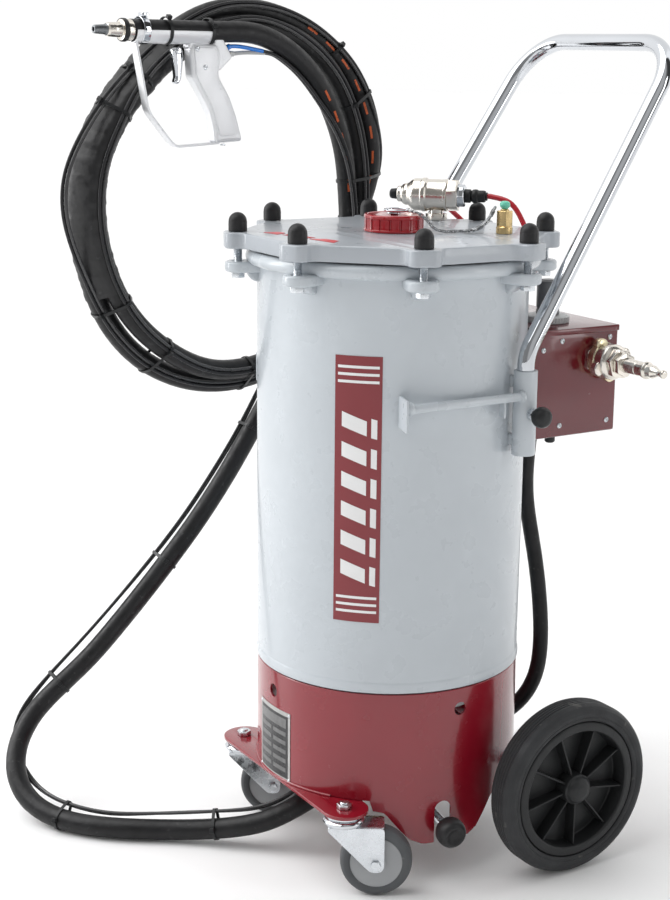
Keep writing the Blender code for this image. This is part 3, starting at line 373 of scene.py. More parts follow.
def plate(name, loops, thickness, mat, place=HERE, bevel=0.0008, segments=2, **where):
    """A flat piece with eased edges: the first loop is its outline, the others are holes."""
    curve = bpy.data.curves.new(name, "CURVE")
    curve.dimensions = "2D"
    curve.fill_mode = "BOTH"
    curve.extrude = thickness / 2 - bevel
    curve.bevel_depth = bevel
    curve.bevel_resolution = segments
    curve.offset = -bevel
    for loop in loops:
        spline = curve.splines.new("POLY")
        spline.points.add(len(loop) - 1)
        for point, (x, y) in zip(spline.points, loop):
            point.co = (x, y, 0, 1)
        spline.use_cyclic_u = True
    holder = linked(name, curve)
    mesh = bpy.data.meshes.new_from_object(holder.evaluated_get(bpy.context.evaluated_depsgraph_get()))
    bpy.data.objects.remove(holder)
    bm = bmesh.new()
    bm.from_mesh(mesh)
    bmesh.ops.remove_doubles(bm, verts=bm.verts, dist=0.000002)
    bm.to_mesh(mesh)
    bm.free()
    smooth_shaded(mesh)
    mesh.materials.clear()
    return put(name, mesh, mat, place, **where)


def cuboid(name, low, high):
    low, high = Vector(low), Vector(high)
    fit = at((low + high) / 2) @ Matrix.Diagonal((*(high - low), 1))
    return mesh_of(name, lambda bm: bmesh.ops.create_cube(bm, size=1, matrix=fit))


def block(name, low, high, mat, place=HERE, bevel=0.0012, segments=3, **where):
    obj = put(name, cuboid(name, low, high), mat, place, **where)
    edges = obj.modifiers.new("edges", "BEVEL")
    edges.width = bevel
    edges.segments = segments
    return obj


def rod(name, low, high, radius, mat, ease=0.0006, steps=32, place=HERE, **where):
    """A round bar with eased ends, between two points."""
    low, high = Vector(low), Vector(high)
    run = high - low
    aim = at(low) @ aimed(run)
    profile = [(0, run.length), (radius, run.length), (radius, 0), (0, 0)]
    return turned(name, profile, mat, place @ aim, steps, rounding=ease, **where)


def circle(radius, sides, centre=(0, 0), start=0.0):
    turns = [start + 2 * pi * i / sides for i in range(sides)]
    return [(centre[0] + radius * cos(a), centre[1] + radius * sin(a)) for a in turns]


def arc(centre, radius, first, last, steps):
    """Points on an arc, with its angles in degrees."""
    turns = [radians(first + (last - first) * i / steps) for i in range(steps + 1)]
    return [(centre[0] + radius * cos(a), centre[1] + radius * sin(a)) for a in turns]


def hexagon(name, low, high, radius, mat, place=HERE, **where):
    """A nut or hex between two heights on local Z."""
    middle = place @ at((0, 0, (low + high) / 2))
    return plate(name, [rounded(circle(radius, 6), radius * 0.08, True)], high - low, mat, middle, 0.0006,
        **where)


def swept(bm, points, radius, sides=8, closed=False, flat=1.0):
    """Adds a tube along points to a mesh. Flat squeezes it across its first side."""
    points = [Vector(p) for p in points]
    count = len(points)
    side = None
    rings = []
    for i, here in enumerate(points):
        before = points[i - 1] if closed or i else here
        after = points[(i + 1) % count] if closed or i < count - 1 else here
        ahead = (after - before).normalized()
        if side is None:
            side = ahead.orthogonal().normalized()
        side = (side - ahead * side.dot(ahead)).normalized()
        over = ahead.cross(side)
        rings.append([bm.verts.new(here + (side * cos(a) * flat + over * sin(a)) * radius)
            for a in [2 * pi * k / sides for k in range(sides)]])
    skin(bm, rings, along=closed)
    if not closed:
        bm.faces.new(rings[0])
        bm.faces.new(rings[-1])


def wire(name, paths, radius, mat, sides=8, closed=False, place=HERE, **where):
    """One piece made of tubes along several paths."""

    def build(bm):
        for path in paths:
            swept(bm, path, radius, sides, closed)

    return put(name, mesh_of(name, build, 60), mat, place, **where)


def patch(name, corners, radius, mat, lift=0.0, **where):
    """A thin sheet wrapped on the vessel. Its four corners are (degrees from the front, height)."""
    steps = 16

    def build(bm):
        rows = []
        for i in range(steps + 1):
            t = i / steps
            row = []
            for low, high, depths in ((corners[0], corners[1], (0, lift)),
                    (corners[3], corners[2], (lift, 0))):
                angle = radians(low[0] + (high[0] - low[0]) * t)
                height = low[1] + (high[1] - low[1]) * t
                for r in [radius + depth for depth in depths]:
                    row.append(bm.verts.new(around(angle, r, height)))
            rows.append(row)
        skin(bm, rows)
        bm.faces.new(rows[0])
        bm.faces.new(rows[-1])

    return put(name, mesh_of(name, build), mat, **where)


def about_x(location, side=1):
    """Local Z along +X, or along -X for side -1."""
    return at(location) @ Matrix.Rotation(side * pi / 2, 4, "Y")


def spun(angle):
    return Matrix.Rotation(angle, 4, "Z")


def around(angle, radius, height=0.0):
    """A point at an angle from the front, towards +X."""
    return Vector((radius * sin(angle), -radius * cos(angle), height))


def bolt_angles():
    return [BOLT_PHASE + 2 * pi * k / BOLT_COUNT for k in range(BOLT_COUNT)]


def bolt_place(angle, height):
    return around(angle, BOLT_CIRCLE_R, height)


# ---------------------------------------------------------------- hoses


def smooth_path(route, spacing):
    """Points a spacing apart on a smooth curve through the route's points."""
    knots = [Vector(point) for point in route]
    knots = [2 * knots[0] - knots[1]] + knots + [2 * knots[-1] - knots[-2]]
    fine = []
    for a, b, c, d in zip(knots, knots[1:], knots[2:], knots[3:]):
        for i in range(16):
            t = i / 16
            fine.append(0.5 * (2 * b + (c - a) * t + (2 * a - 5 * b + 4 * c - d) * t * t
                + (3 * b - a - 3 * c + d) * t * t * t))
    fine.append(knots[-2])
    path, left = [fine[0]], spacing
    for a, b in zip(fine, fine[1:]):
        run = (b - a).length
        while run > left:
            a = a.lerp(b, left / run)
            run = (b - a).length
            path.append(a)
            left = spacing
        left -= run
    path.append(fine[-1])
    return path


def relaxed(points, passes):
    """Evens out small waves along a line, with both ends and their directions kept."""
    for _ in range(passes):
        middle = [(a + 2 * b + c) / 4 for a, b, c in zip(points[1:], points[2:], points[3:])]
        points = points[:2] + middle + points[-2:]
    return points


def ring_point(angle, radius, out):
    a = radians(angle)
    return RING @ Vector((radius * cos(a), radius * sin(a), out))


def keyed(keys, angle):
    """The values between the two keys around an angle."""
    for low, high in zip(keys, keys[1:]):
        if angle <= high[0]:
            t = max(0.0, (angle - low[0]) / (high[0] - low[0]))
            return [a + (b - a) * t for a, b in zip(low[1:], high[1:])]
    return list(keys[-1][1:])


# The blast hose from the outlet, over the floor and up behind the vessel
FLOOR_ROUTE = mm((0, -60.2, 85), (0, -85, 85), (-2, -139, 67.4), (-19, -187, 43), (-53, -228, 28.6),
    (-90, -267, 19.1), (-124, -311, 15.8), (-155, -357, 15.8), (-192, -398, 15.8), (-239, -429, 16.5),
    (-288, -451, 28.4), (-328, -456, 55.7), (-358, -441, 90.9), (-375, -406, 131.3), (-372, -359, 171.3),
    (-363, -315, 210.8), (-350, -257, 277.1), (-339, -201, 344.9), (-336, -144, 412), (-339, -89, 481.2),
    (-344, -38, 552.8), (-343, 12, 633.4), (-339, 61, 719.2), (-340, 92, 777.2), (-340, 122, 836))
# Degrees along the ring's turns, radius, and distance out of the ring's plane
HOSE_TURNS = [(-5, 0.2735, -0.049), (8, 0.2865, -0.036), (20, 0.29, -0.03), (40, 0.294, -0.028),
    (58, 0.2885, -0.028), (78, 0.28, -0.028), (95, 0.268, -0.028), (112, 0.248, -0.028),
    (130, 0.2355, -0.028), (147, 0.2345, -0.028), (165, 0.2395, -0.028), (185, 0.24, -0.028),
    (205, 0.247, -0.028), (220, 0.261, -0.028), (240, 0.2725, -0.028), (264, 0.2785, -0.028),
    (290, 0.279, -0.028), (315, 0.274, -0.028), (340, 0.262, -0.029), (360, 0.254, -0.028),
    (376, 0.2565, -0.026), (390, 0.26, -0.021), (408, 0.264, -0.013), (425, 0.26, -0.005), (450, 0.247, 0.0),
    (472, 0.231, 0.0), (492, 0.2225, 0.0), (510, 0.2245, 0.0), (525, 0.229, 0.0), (545, 0.2297, 0.0),
    (562, 0.2318, 0.0), (580, 0.2375, 0.0), (600, 0.244, 0.0), (620, 0.255, 0.0), (645, 0.255, 0.0),
    (675, 0.248, -0.002), (700, 0.234, -0.011), (717, 0.2225, -0.019), (735, 0.2195, -0.013),
    (752, 0.2175, -0.002), (768, 0.2205, 0.01), (784, 0.2265, 0.024), (798, 0.2344, 0.032)]
TAIL = [(0.012, 0.2395), (-0.02, 0.24), (-0.045, BARREL_W), (-0.09, BARREL_W), (-0.14, BARREL_W),
    (-0.1865, BARREL_W)]
# The twin line beside the hose, then its distance from the hose as (degrees, outwards, out of plane)
LINE_ROUTE = mm((-8, -30.1, 140), (-8, -50, 140), (-11, -101, 114.6), (-20, -145, 78), (-40, -189, 55.6),
    (-88, -252, 45), (-138, -314, 36.5), (-188, -372, 30.5), (-252, -417, 35), (-303, -431, 41),
    (-330, -435, 47.5), (-352, -438, 58), (-372, -439, 73.5), (-385, -436, 94.2), (-394, -426, 116.9),
    (-396, -411, 138.9), (-389, -376, 180), (-375, -319, 240), (-362, -265, 300), (-356, -211, 358),
    (-355, -157, 417), (-358, -106, 478.7), (-363, -57, 542.7), (-362, -16, 612.8), (-351, 18, 685.9),
    (-342, 43, 733.8), (-340, 72, 787.5))
LINE_OFFSETS = [(-15, 0.003, -0.0195), (-5, 0.014, -0.013), (8, 0.0185, 0.0), (30, 0.007, 0.017),
    (110, 0.006, 0.0175), (130, 0.011, 0.021), (147, 0.019, 0.023), (160, 0.027, 0.026), (168, 0.035, 0.028),
    (175, 0.04, 0.028), (182, 0.037, 0.028), (190, 0.027, 0.023), (203, 0.014, 0.015), (220, 0.006, 0.017),
    (264, 0.0, 0.0182), (420, 0.0, 0.0182), (440, 0.012, 0.0137), (490, 0.01, 0.0152), (510, 0.0, 0.0182),
    (717, 0.0, 0.0182), (735, -0.0065, 0.017), (752, -0.0135, 0.0125), (768, -0.0184, 0.002),
    (800, -0.0184, 0.0)]
REAR_ROUTE = [(0.02, 0.235, 0.6029), (0.02, 0.235, 0.585), (0.018, 0.232, 0.5376), (0.02, 0.231, 0.4905),
    (0.027, 0.235, 0.444), (0.037, 0.239, 0.398), (0.047, 0.2405, 0.352), (0.057, 0.239, 0.306),
    (0.066, 0.234, 0.26), (0.072, 0.221, 0.2153), (0.066, 0.195, 0.1776), (0.048, 0.159, 0.1525),
    (0.023, 0.1191, 0.133), (0.008, 0.09, 0.119), (0.0, 0.058, AIR_PORT_Z), (0.0, 0.0401, AIR_PORT_Z)]


def turn_angles():
    first, last, step = HOSE_TURNS[0][0], HOSE_TURNS[-1][0], 11
    count = round((last - first) / step)
    return [first + (last - first) * i / count for i in range(count + 1)]


def blast_route():
    turns = [ring_point(angle, *keyed(HOSE_TURNS, angle)) for angle in turn_angles()]
    tail = [RING @ Vector((along, up, GUN_N)) for along, up in TAIL]
    return [Vector(p) for p in FLOOR_ROUTE] + turns + tail


def line_route():
    """The twin line's middle, up to the gun's two ports."""
    turns = []
    for angle in turn_angles():
        radius, out = keyed(HOSE_TURNS, angle)
        outwards, across = keyed(LINE_OFFSETS, angle)
        turns.append(ring_point(angle, radius + outwards, out + across))
    return [Vector(p) for p in LINE_ROUTE] + turns


def beside(middle, hose, offset):
    """A line at an offset from the twin line's middle, so that both touch the hose alike."""
    moved = []
    for i, here in enumerate(middle):
        ahead = (middle[min(i + 1, len(middle) - 1)] - middle[max(i - 1, 0)]).normalized()
        nearest = min(hose, key=lambda p: (p - here).length_squared)
        moved.append(here + ahead.cross((here - nearest).normalized()) * offset)
    return moved


def tube(name, points, radius, mat, resolution=6, **where):
    """A round hose or line along points, as one open spline."""
    curve = bpy.data.curves.new(name, "CURVE")
    curve.dimensions = "3D"
    curve.bevel_depth = radius
    curve.bevel_resolution = resolution
    curve.use_fill_caps = True
    spline = curve.splines.new("POLY")
    spline.points.add(len(points) - 1)
    for point, place in zip(spline.points, points):
        point.co = (*place, 1)
    spline.use_smooth = True
    return put(name, curve, mat, **where)


HOSE_PATH = relaxed(smooth_path(blast_route(), 0.01), 8)
MIDDLE = relaxed(smooth_path(line_route(), 0.01), 5)
REAR_PATH = relaxed(smooth_path(REAR_ROUTE, 0.01), 6)


def line_paths():
    """Both lines, each bent away to its own port at the back of the gun."""
    paths = []
    for offset, ends in ((0.0028, mm((-8, 219), (-23, 220.5), (-33.5, 216.5))),
            (-0.0028, mm((-6, 211), (-18, 209), (-28.5, 209)))):
        start = beside(MIDDLE, HOSE_PATH, offset)
        joined = smooth_path(start[:-2:3] + [RING @ Vector((*end, GUN_N)) for end in ends], 0.008)
        paths.append(relaxed(joined, 3))
    return paths


LINE_A, LINE_B = line_paths()


# ---------------------------------------------------------------- vessel, skirt and base


def make_vessel():
    profile = arc((BEAD_CENTRE_R, RIM_Z - BEAD_R), BEAD_R, 90, -126.9, 12)
    profile += [(VESSEL_R, 0.299), (VESSEL_R + 0.0009, 0.2965), (VESSEL_R + 0.0016, 0.289),
        (VESSEL_R + 0.0013, 0.2845), (VESSEL_R - 0.004, JUNCTION_Z + 0.0004)]
    profile += [(cos(t) * 0.186, JUNCTION_Z - 0.08 * sin(t)) for t in [0.1 + 0.1363 * i for i in range(11)]]
    profile += [(NECK_R, NECK_END_Z), (NECK_R - 0.004, NECK_END_Z), (NECK_R - 0.004, 0.2055)]
    profile += [(0.18 * cos(t), JUNCTION_Z + 0.003 - 0.078 * sin(t))
        for t in [1.45 - 0.145 * i for i in range(11)]]
    profile += [(0.187, 0.31), (0.187, RIM_Z - 0.012), (0.192, RIM_Z)]
    turned("vessel", profile, GREY_PAINT, steps=128, closed=True, rounding=0.0006, node="vessel_shell",
        slot="grey_paint")
    for k, angle in enumerate(bolt_angles()):
        make_lug(k + 1, angle)


def make_lug(number, angle):
    """A rounded tongue under the lid, and the rounded rib that carries it."""
    turn = spun(angle - pi / 2)
    end = BOLT_CIRCLE_R + 0.018 - EAR_HALF_W
    outline = arc((end, 0), EAR_HALF_W, -90, 90, 16) + [(0.188, EAR_HALF_W), (0.188, -EAR_HALF_W)]
    holes = [circle(BOLT_R + 0.0009, 16, (BOLT_CIRCLE_R, 0))]
    lift = at((0, 0, LUG_TOP_Z - LUG_T / 2))
    plate(f"lug_{number}", [outline] + holes, LUG_T, GREY_PAINT, lift @ turn, 0.0042, 4)
    rib = arc((0.189, LUG_TOP_Z - 0.012), 0.0165, -90, -8, 8) + [(0.186, LUG_TOP_Z - 0.012),
        (0.186, LUG_TOP_Z - 0.0285)]
    stand = turn @ STAND
    plate(f"lug_rib_{number}", [rib], 0.021, GREY_PAINT, stand, 0.004, 4)


def skirt_edge(angle):
    """Height of the skirt's lower edge at an angle in degrees from the front, towards +X."""
    if abs(angle) < 52:
        return PLATE_TOP + 0.0003
    lobe = [(52, SKIRT_LOW_Z), (57.5, SKIRT_LOW_Z - 0.003), (63, 0.085), (68, 0.067), (74, LOBE_LOW_Z),
        (96, LOBE_LOW_Z), (100.5, 0.066), (105, 0.083), (110, 0.103), (114, SKIRT_LOW_Z)]
    for (first, high), (last, low) in zip(lobe, lobe[1:]):
        if first <= angle <= last:
            return high + (low - high) * (angle - first) / (last - first)
    return SKIRT_LOW_Z


def bar(name, radius, low, high, sides=48):
    """A round cutting tool between two points."""
    low, high = Vector(low), Vector(high)
    run = high - low

    def build(bm):
        bmesh.ops.create_cone(bm, cap_ends=True, segments=sides, radius1=radius, radius2=radius,
            depth=run.length)

    return linked(name, mesh_of(name, build), at((low + high) / 2) @ aimed(run))


def prism(name, outline, depth, place):
    """A cutting tool with a flat outline."""
    def build(bm):
        rings = [[bm.verts.new((x, y, z)) for x, y in outline] for z in (-depth / 2, depth / 2)]
        bm.faces.new(rings[0])
        bm.faces.new(rings[1])
        skin(bm, rings)

    return linked(name, mesh_of(name, build), place)


def cut(obj, tools):
    """Cuts the tools out of a piece for good, and removes them."""
    for tool in tools:
        step = obj.modifiers.new(tool.name, "BOOLEAN")
        step.operation = "DIFFERENCE"
        step.solver = "EXACT"
        step.object = tool
    mesh = bpy.data.meshes.new_from_object(obj.evaluated_get(bpy.context.evaluated_depsgraph_get()))
    obj.modifiers.clear()
    obj.data = mesh
    smooth_shaded(mesh, 30)
    for tool in tools:
        bpy.data.objects.remove(tool)


def make_skirt():
    """The rolled sheet, its drain holes, the lever's slot and the notch for the air hose."""
    inner = VESSEL_R - WALL

    def build(bm):
        rings = []
        for k in range(240):
            angle = -180 + 1.5 * k
            turn = radians(angle)
            low = skirt_edge(angle)
            line = [(VESSEL_R - 0.0008, JUNCTION_Z), (VESSEL_R, JUNCTION_Z - 0.0008),
                (VESSEL_R, low + 0.0008), (VESSEL_R - 0.0008, low), (inner, low), (inner, JUNCTION_Z)]
            rings.append([bm.verts.new(around(turn, r, z)) for r, z in line])
        skin(bm, rings, along=True)

    skirt = put("skirt_sheet", mesh_of("skirt_sheet", build, 30), RED_PAINT, node="skirt", slot="red_paint")
    across = spun(SLOT_ANGLE) @ STAND @ Matrix.Rotation(pi / 2, 4, "Y")
    slot = arc((0, 0.107), 0.0125, 0, 180, 20) + [(-0.0125, 0.02), (0.0125, 0.02)]
    notch = arc((0.058, 0.162), 0.023, 0, 180, 20) + [(0.035, 0.05), (0.081, 0.05)]
    stand = at((0, 0.17, 0)) @ STAND
    tools = [prism("lever_slot", slot, 0.08, at(RADIAL * VESSEL_R) @ across),
        prism("hose_notch", notch, 0.1, stand), bar("axle_hole", 0.0106, (-0.2, AXLE_Y, WHEEL_R),
        (0.2, AXLE_Y, WHEEL_R))]
    for k in range(4):
        out = around(k * pi / 2, 1)
        low = out * (VESSEL_R - 0.02) + Vector((0, 0, 0.2523))
        tools.append(bar(f"drain_hole_{k}", 0.0095, low, low + out * 0.04))
    cut(skirt, tools)


def make_base():
    centre = CASTER_Y + 0.002
    outline = arc((CASTER_X, centre), 0.032, -90, 90, 20) + arc((-CASTER_X, centre), 0.032, 90, 270, 20)
    holes = [circle(0.0068, 20, (side * CASTER_X, CASTER_Y)) for side in (-1, 1)]
    lift = at((0, 0, PLATE_TOP - 0.0025))
    plate("base_plate", [outline] + holes, 0.005, RED_PAINT, lift, 0.001, 3, node="caster_plate",
        slot="red_paint")
    weld = [around(radians(-34 + 2 * i), 0.1905, PLATE_TOP + 0.0012) for i in range(35)]
    wire("base_weld", [weld], 0.0022, RED_PAINT, 10)
    turned("axle_bar", mm((0, 261), (10, 261), (10, -261), (0, -261)), ZINC, about_x((0, AXLE_Y, WHEEL_R)),
        40, node="axle", slot="zinc")
    for side, name in ((-1, "left"), (1, "right")):
        rod(f"axle_washer_{name}", (side * 0.21, AXLE_Y, WHEEL_R), (side * 0.2145, AXLE_Y, WHEEL_R), 0.016,
            ZINC)


def stripe(name, angles, heights, out, mat, lift=0.0002):
    """A thin rectangle on the vessel, between two angles in degrees and two heights."""
    (first, last), (low, high) = angles, heights
    patch(name, [(first, low), (last, low), (last, high), (first, high)], VESSEL_R + out, mat, lift)


def make_marks():
    """Plain stripes where the maker's panel sits, and a bare rating plate on four rivets."""
    first, last = 34.5, 53.8
    stripe("panel", (first, last), (0.385, 0.749), 0.0002, DECAL_RED, 0.0003)
    for end, start in (("low", 0.398), ("high", 0.713)):
        for k in range(3):
            z = start + 0.0098 * k
            stripe(f"panel_line_{end}_{k}", (first + 1.2, last - 1.2), (z, z + 0.0036), 0.0006, DECAL_WHITE)
    for k in range(6):
        z = 0.452 + 0.0405 * k
        for kind, a, b, rise, height in (("block", first + 3.0, last - 6.0, -0.012, 0.020),
                ("tick", last - 4.2, last - 1.8, -0.002, 0.026)):
            low = z - 0.014 if kind == "tick" else z
            patch(f"panel_{kind}_{k}", [(a, low), (b, low + rise), (b, low + rise + height),
                (a, low + height)], VESSEL_R + 0.0006, DECAL_WHITE, 0.0002)
    stripe("rating_plate", (-12.6, 12.6), (0.124, 0.229), 0.0002, PLATE_PALE, 0.0007)
    stripe("rating_field", (-11.2, 11.2), (0.130, 0.223), 0.0010, PLATE_GREY)
    stripe("rating_band", (-10.2, 10.2), (0.205, 0.219), 0.0013, PLATE_MARK)
    for k in range(5):
        z = 0.193 - 0.0135 * k
        for side, angles in enumerate(((-10.0, -1.0), (0.6, 10.0))):
            stripe(f"rating_row_{k}_{side}", angles, (z, z + 0.0062), 0.0013, PLATE_MARK)
    for k, (angle, z) in enumerate(((-11.7, 0.128), (11.7, 0.128), (11.7, 0.225), (-11.7, 0.225))):
        spot = around(radians(angle), VESSEL_R + 0.0008, z)
        aim = at(spot) @ aimed(around(radians(angle), 1))
        turned(f"rivet_{k}", mm((0, 1.4), (1.2, 1.2), (2.1, 0), (0, 0)), ZINC, aim, 16, rounding=0)


# ---------------------------------------------------------------- lid


def lid_outline():
    """The lid's plate with an ear at every clamp bolt."""
    tip_r, fillet_r, lean = 0.014, 0.014, radians(22.5)
    meet = (LID_APOTHEM - EAR_HALF_W * sin(lean)) / cos(lean)
    setback = fillet_r / tan(radians(56.25))
    half = arc((EAR_END_R - tip_r, EAR_HALF_W - tip_r), tip_r, 0, 90, 10)
    half += arc((meet + setback, EAR_HALF_W + fillet_r), fillet_r, -90, -157.5, 8)
    outline = []
    for angle in bolt_angles():
        turn = angle - pi / 2
        for along, across in [(s, -t) for s, t in half[::-1]] + half[1:]:
            outline.append((along * cos(turn) - across * sin(turn), along * sin(turn) + across * cos(turn)))
    return outline


def make_lid():
    holes = [circle(BOLT_R + 0.0009, 20, tuple(bolt_place(angle, 0))[:2]) for angle in bolt_angles()]
    holes.append(circle(0.0345, 64))
    lift = at((0, 0, LID_Z + LID_T / 2))
    plate("lid", [lid_outline()] + holes, LID_T, LID_PAINT, lift, 0.0028, 4, node="lid_plate",
        slot="grey_paint")
    ring = [(0.1985, LID_Z - 0.0003), (0.1985, RIM_Z + 0.0003), (0.1905, RIM_Z + 0.0003),
        (0.1905, LID_Z - 0.0003)]
    turned("gasket", ring, BLACK_RUBBER, steps=96, closed=True, rounding=0.0003, node="lid_gasket",
        slot="black_rubber")
    make_sticker()


def make_sticker():
    """A plain sticker on the lid: a red wedge at each end and thin lines between them."""
    across = Vector((0.158, 0.025, 0)).normalized()
    centre = Vector((0.021, -0.1545, LID_TOP + 0.0004))
    turn = at(centre) @ spun(atan2(across.y, across.x))
    wedges = [mm((-78, -10), (-46, -10), (-54, 10), (-70, 10)), mm((20, -9), (74, -11), (60, 9), (34, 9))]
    wedges += [[(-0.04, y), (0.014, y), (0.014, y + 0.0022), (-0.04, y + 0.0022)]
        for y in (-0.007, -0.001, 0.005)]
    for k, wedge in enumerate(wedges):
        plate(f"sticker_{k}", [rounded(wedge, 0.001, True)], 0.0004, STICKER_RED, turn, 0.0001, 1)


def thread(radius, low, high, pitch, depth):
    """A stud's side as (radius, height), from the top down."""
    line, z = [], high
    while z > low + pitch:
        line += [(radius, z), (radius - depth, z - pitch * 0.5)]
        z -= pitch
    return line + [(radius, low)]


def make_filler():
    high = LID_TOP + 0.0235
    neck = [(0.03, LID_TOP + 0.012)] + thread(0.0335, LID_Z - 0.01, LID_TOP + 0.012, 0.0025, 0.0008)
    turned("neck", neck + [(0.03, LID_Z - 0.01)], ZINC, steps=80, closed=True, rounding=0.0003,
        node="filler_neck", slot="zinc")
    flats = 18

    def fluted(angle, radius, height):
        """Flat panels round the cap's side, with a thin groove between each two."""
        if radius < 0.0395 or height > high - 0.005 or height < LID_TOP + 0.004:
            return 0.0
        share = (angle * flats / (2 * pi)) % 1.0
        return -0.0016 if share < 0.09 or share > 0.91 else 0.0

    side = [(0.042, high - 0.003), (0.042, high - 0.0048), (0.0414, high - 0.0052),
        (0.0414, LID_TOP + 0.0042), (0.0425, LID_TOP + 0.0036)]
    cap = [(0.0062, high), (0.0365, high), (0.0382, high + 0.0006), (0.0408, high + 0.0004),
        (0.042, high - 0.0012)] + side
    cap += [(0.0425, LID_TOP + 0.0006), (0.0345, LID_TOP + 0.0006), (0.0345, LID_TOP + 0.0135),
        (0.0062, LID_TOP + 0.0135)]
    turned("cap_shell", cap, RED_PLASTIC, steps=288, closed=True, rounding=0.0004, wave=fluted, body="cap",
        node="fill_cap", slot="red_plastic")
    pin = [(0, high + 0.0055), (0.006, high + 0.0055), (0.0105, high + 0.004), (0.011, high + 0.001),
        (0.005, high + 0.001), (0.005, LID_TOP + 0.0145), (0, LID_TOP + 0.0145)]
    turned("cap_pin", pin, CHROME, steps=48, body="cap_lifter", node="cap_ring", slot="chrome")
    loop = [(0.018 * cos(a), 0.006 + 0.018 * sin(a), high + 0.0056)
        for a in [2 * pi * k / 48 for k in range(48)]]
    wire("pull_ring", [loop], 0.0019, CHROME, 12, True, body="cap_lifter")


def chain(name, path, pitch, body):
    """Small welded links along a path, each turned a quarter about it."""
    spots = smooth_path(path, pitch)

    def build(bm):
        for i, (a, b) in enumerate(zip(spots, spots[1:])):
            ahead = (b - a).normalized()
            side = ahead.cross(Vector((0, 0, 1)))
            side = side.normalized() if side.length > 0.1 else ahead.orthogonal().normalized()
            over = ahead.cross(side)
            if i % 2:
                side, over = (side + over).normalized(), (over - side).normalized()
            else:
                side, over = (side - over).normalized(), (over + side).normalized()
            long, wide = pitch * 0.42, pitch * 0.27
            ring = [a.lerp(b, 0.5) + ahead * (long * copysign(1, cos(t)) + wide * cos(t))
                + side * wide * sin(t) for t in [pi * (k + 0.5) / 8 for k in range(16)]]
            swept(bm, ring, pitch * 0.135, 6, True)

    return put(name, mesh_of(name, build, 60), CHAIN_ZINC, body=body)


def make_chain():
    links = chain("chain_to_lid", mm((23.5, 8, 922.5), (30, 10, 922.2), (40, 14, 920.5), (47.5, 22, 912),
        (52, 33, 900), (56.5, 45, 896.2), (64, 66, 896.2), (72, 86, 897.5), (79, 100, 908), (83, 110, 927)),
        0.0066, "cap_lifter")
    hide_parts("safety_chain")
    for k, shift in enumerate((Vector((0.005, -0.003, 0)), Vector((-0.005, 0.003, 0)))):
        strand = [Vector(p) + shift * s for p, s in (((0.066, 0.072, 0.896), 0.7),
            ((0.073, 0.087, 0.8985), 1.0), ((0.0795, 0.1005, 0.909), 1.0), ((0.0838, 0.111, 0.928), 0.6))]
        chain(f"chain_strand_{k}", strand, 0.0066, "cap_lifter")


def make_clamps():
    for k, angle in enumerate(bolt_angles()):
        number = k + 1
        place = at(bolt_place(angle, 0))
        low, high = LUG_TOP_Z - LUG_T - 0.006, LID_TOP + 0.0165
        stud = [(0, high)] + thread(BOLT_R, low, high, 0.0018, 0.0005) + [(0, low)]
        turned(f"stud_{number}", stud, ZINC, place, 32, rounding=0, node=f"lid_bolt_{number}", slot="zinc")
        head_top = LUG_TOP_Z - LUG_T - 0.0004
        hexagon(f"stud_head_{number}", head_top - 0.0075, head_top, 0.01, ZINC, place @ spun(angle))
        hexagon(f"stud_nut_{number}", LID_TOP + 0.0004, LID_TOP + 0.0105, 0.01, ZINC, place @ spun(angle))
        outer = 0.0125
        dome = [(outer * cos(t), 0.0137 + 0.0123 * sin(t))
            for t in [pi / 2 * (1 - i / 12) for i in range(13)]]
        dome += [(outer, 0.0133), (outer + 0.0003, 0.0128), (outer + 0.0003, 0.0006), (outer - 0.0004, 0),
            (0.0106, 0), (0.0106, 0.018), (0, 0.0195)]
        lift = at(bolt_place(angle, LID_TOP + 0.0003))
        turned(f"dome_{number}", dome, BLACK_RUBBER, lift, 48, rounding=0, node=f"bolt_cap_{number}",
            slot="black_rubber")


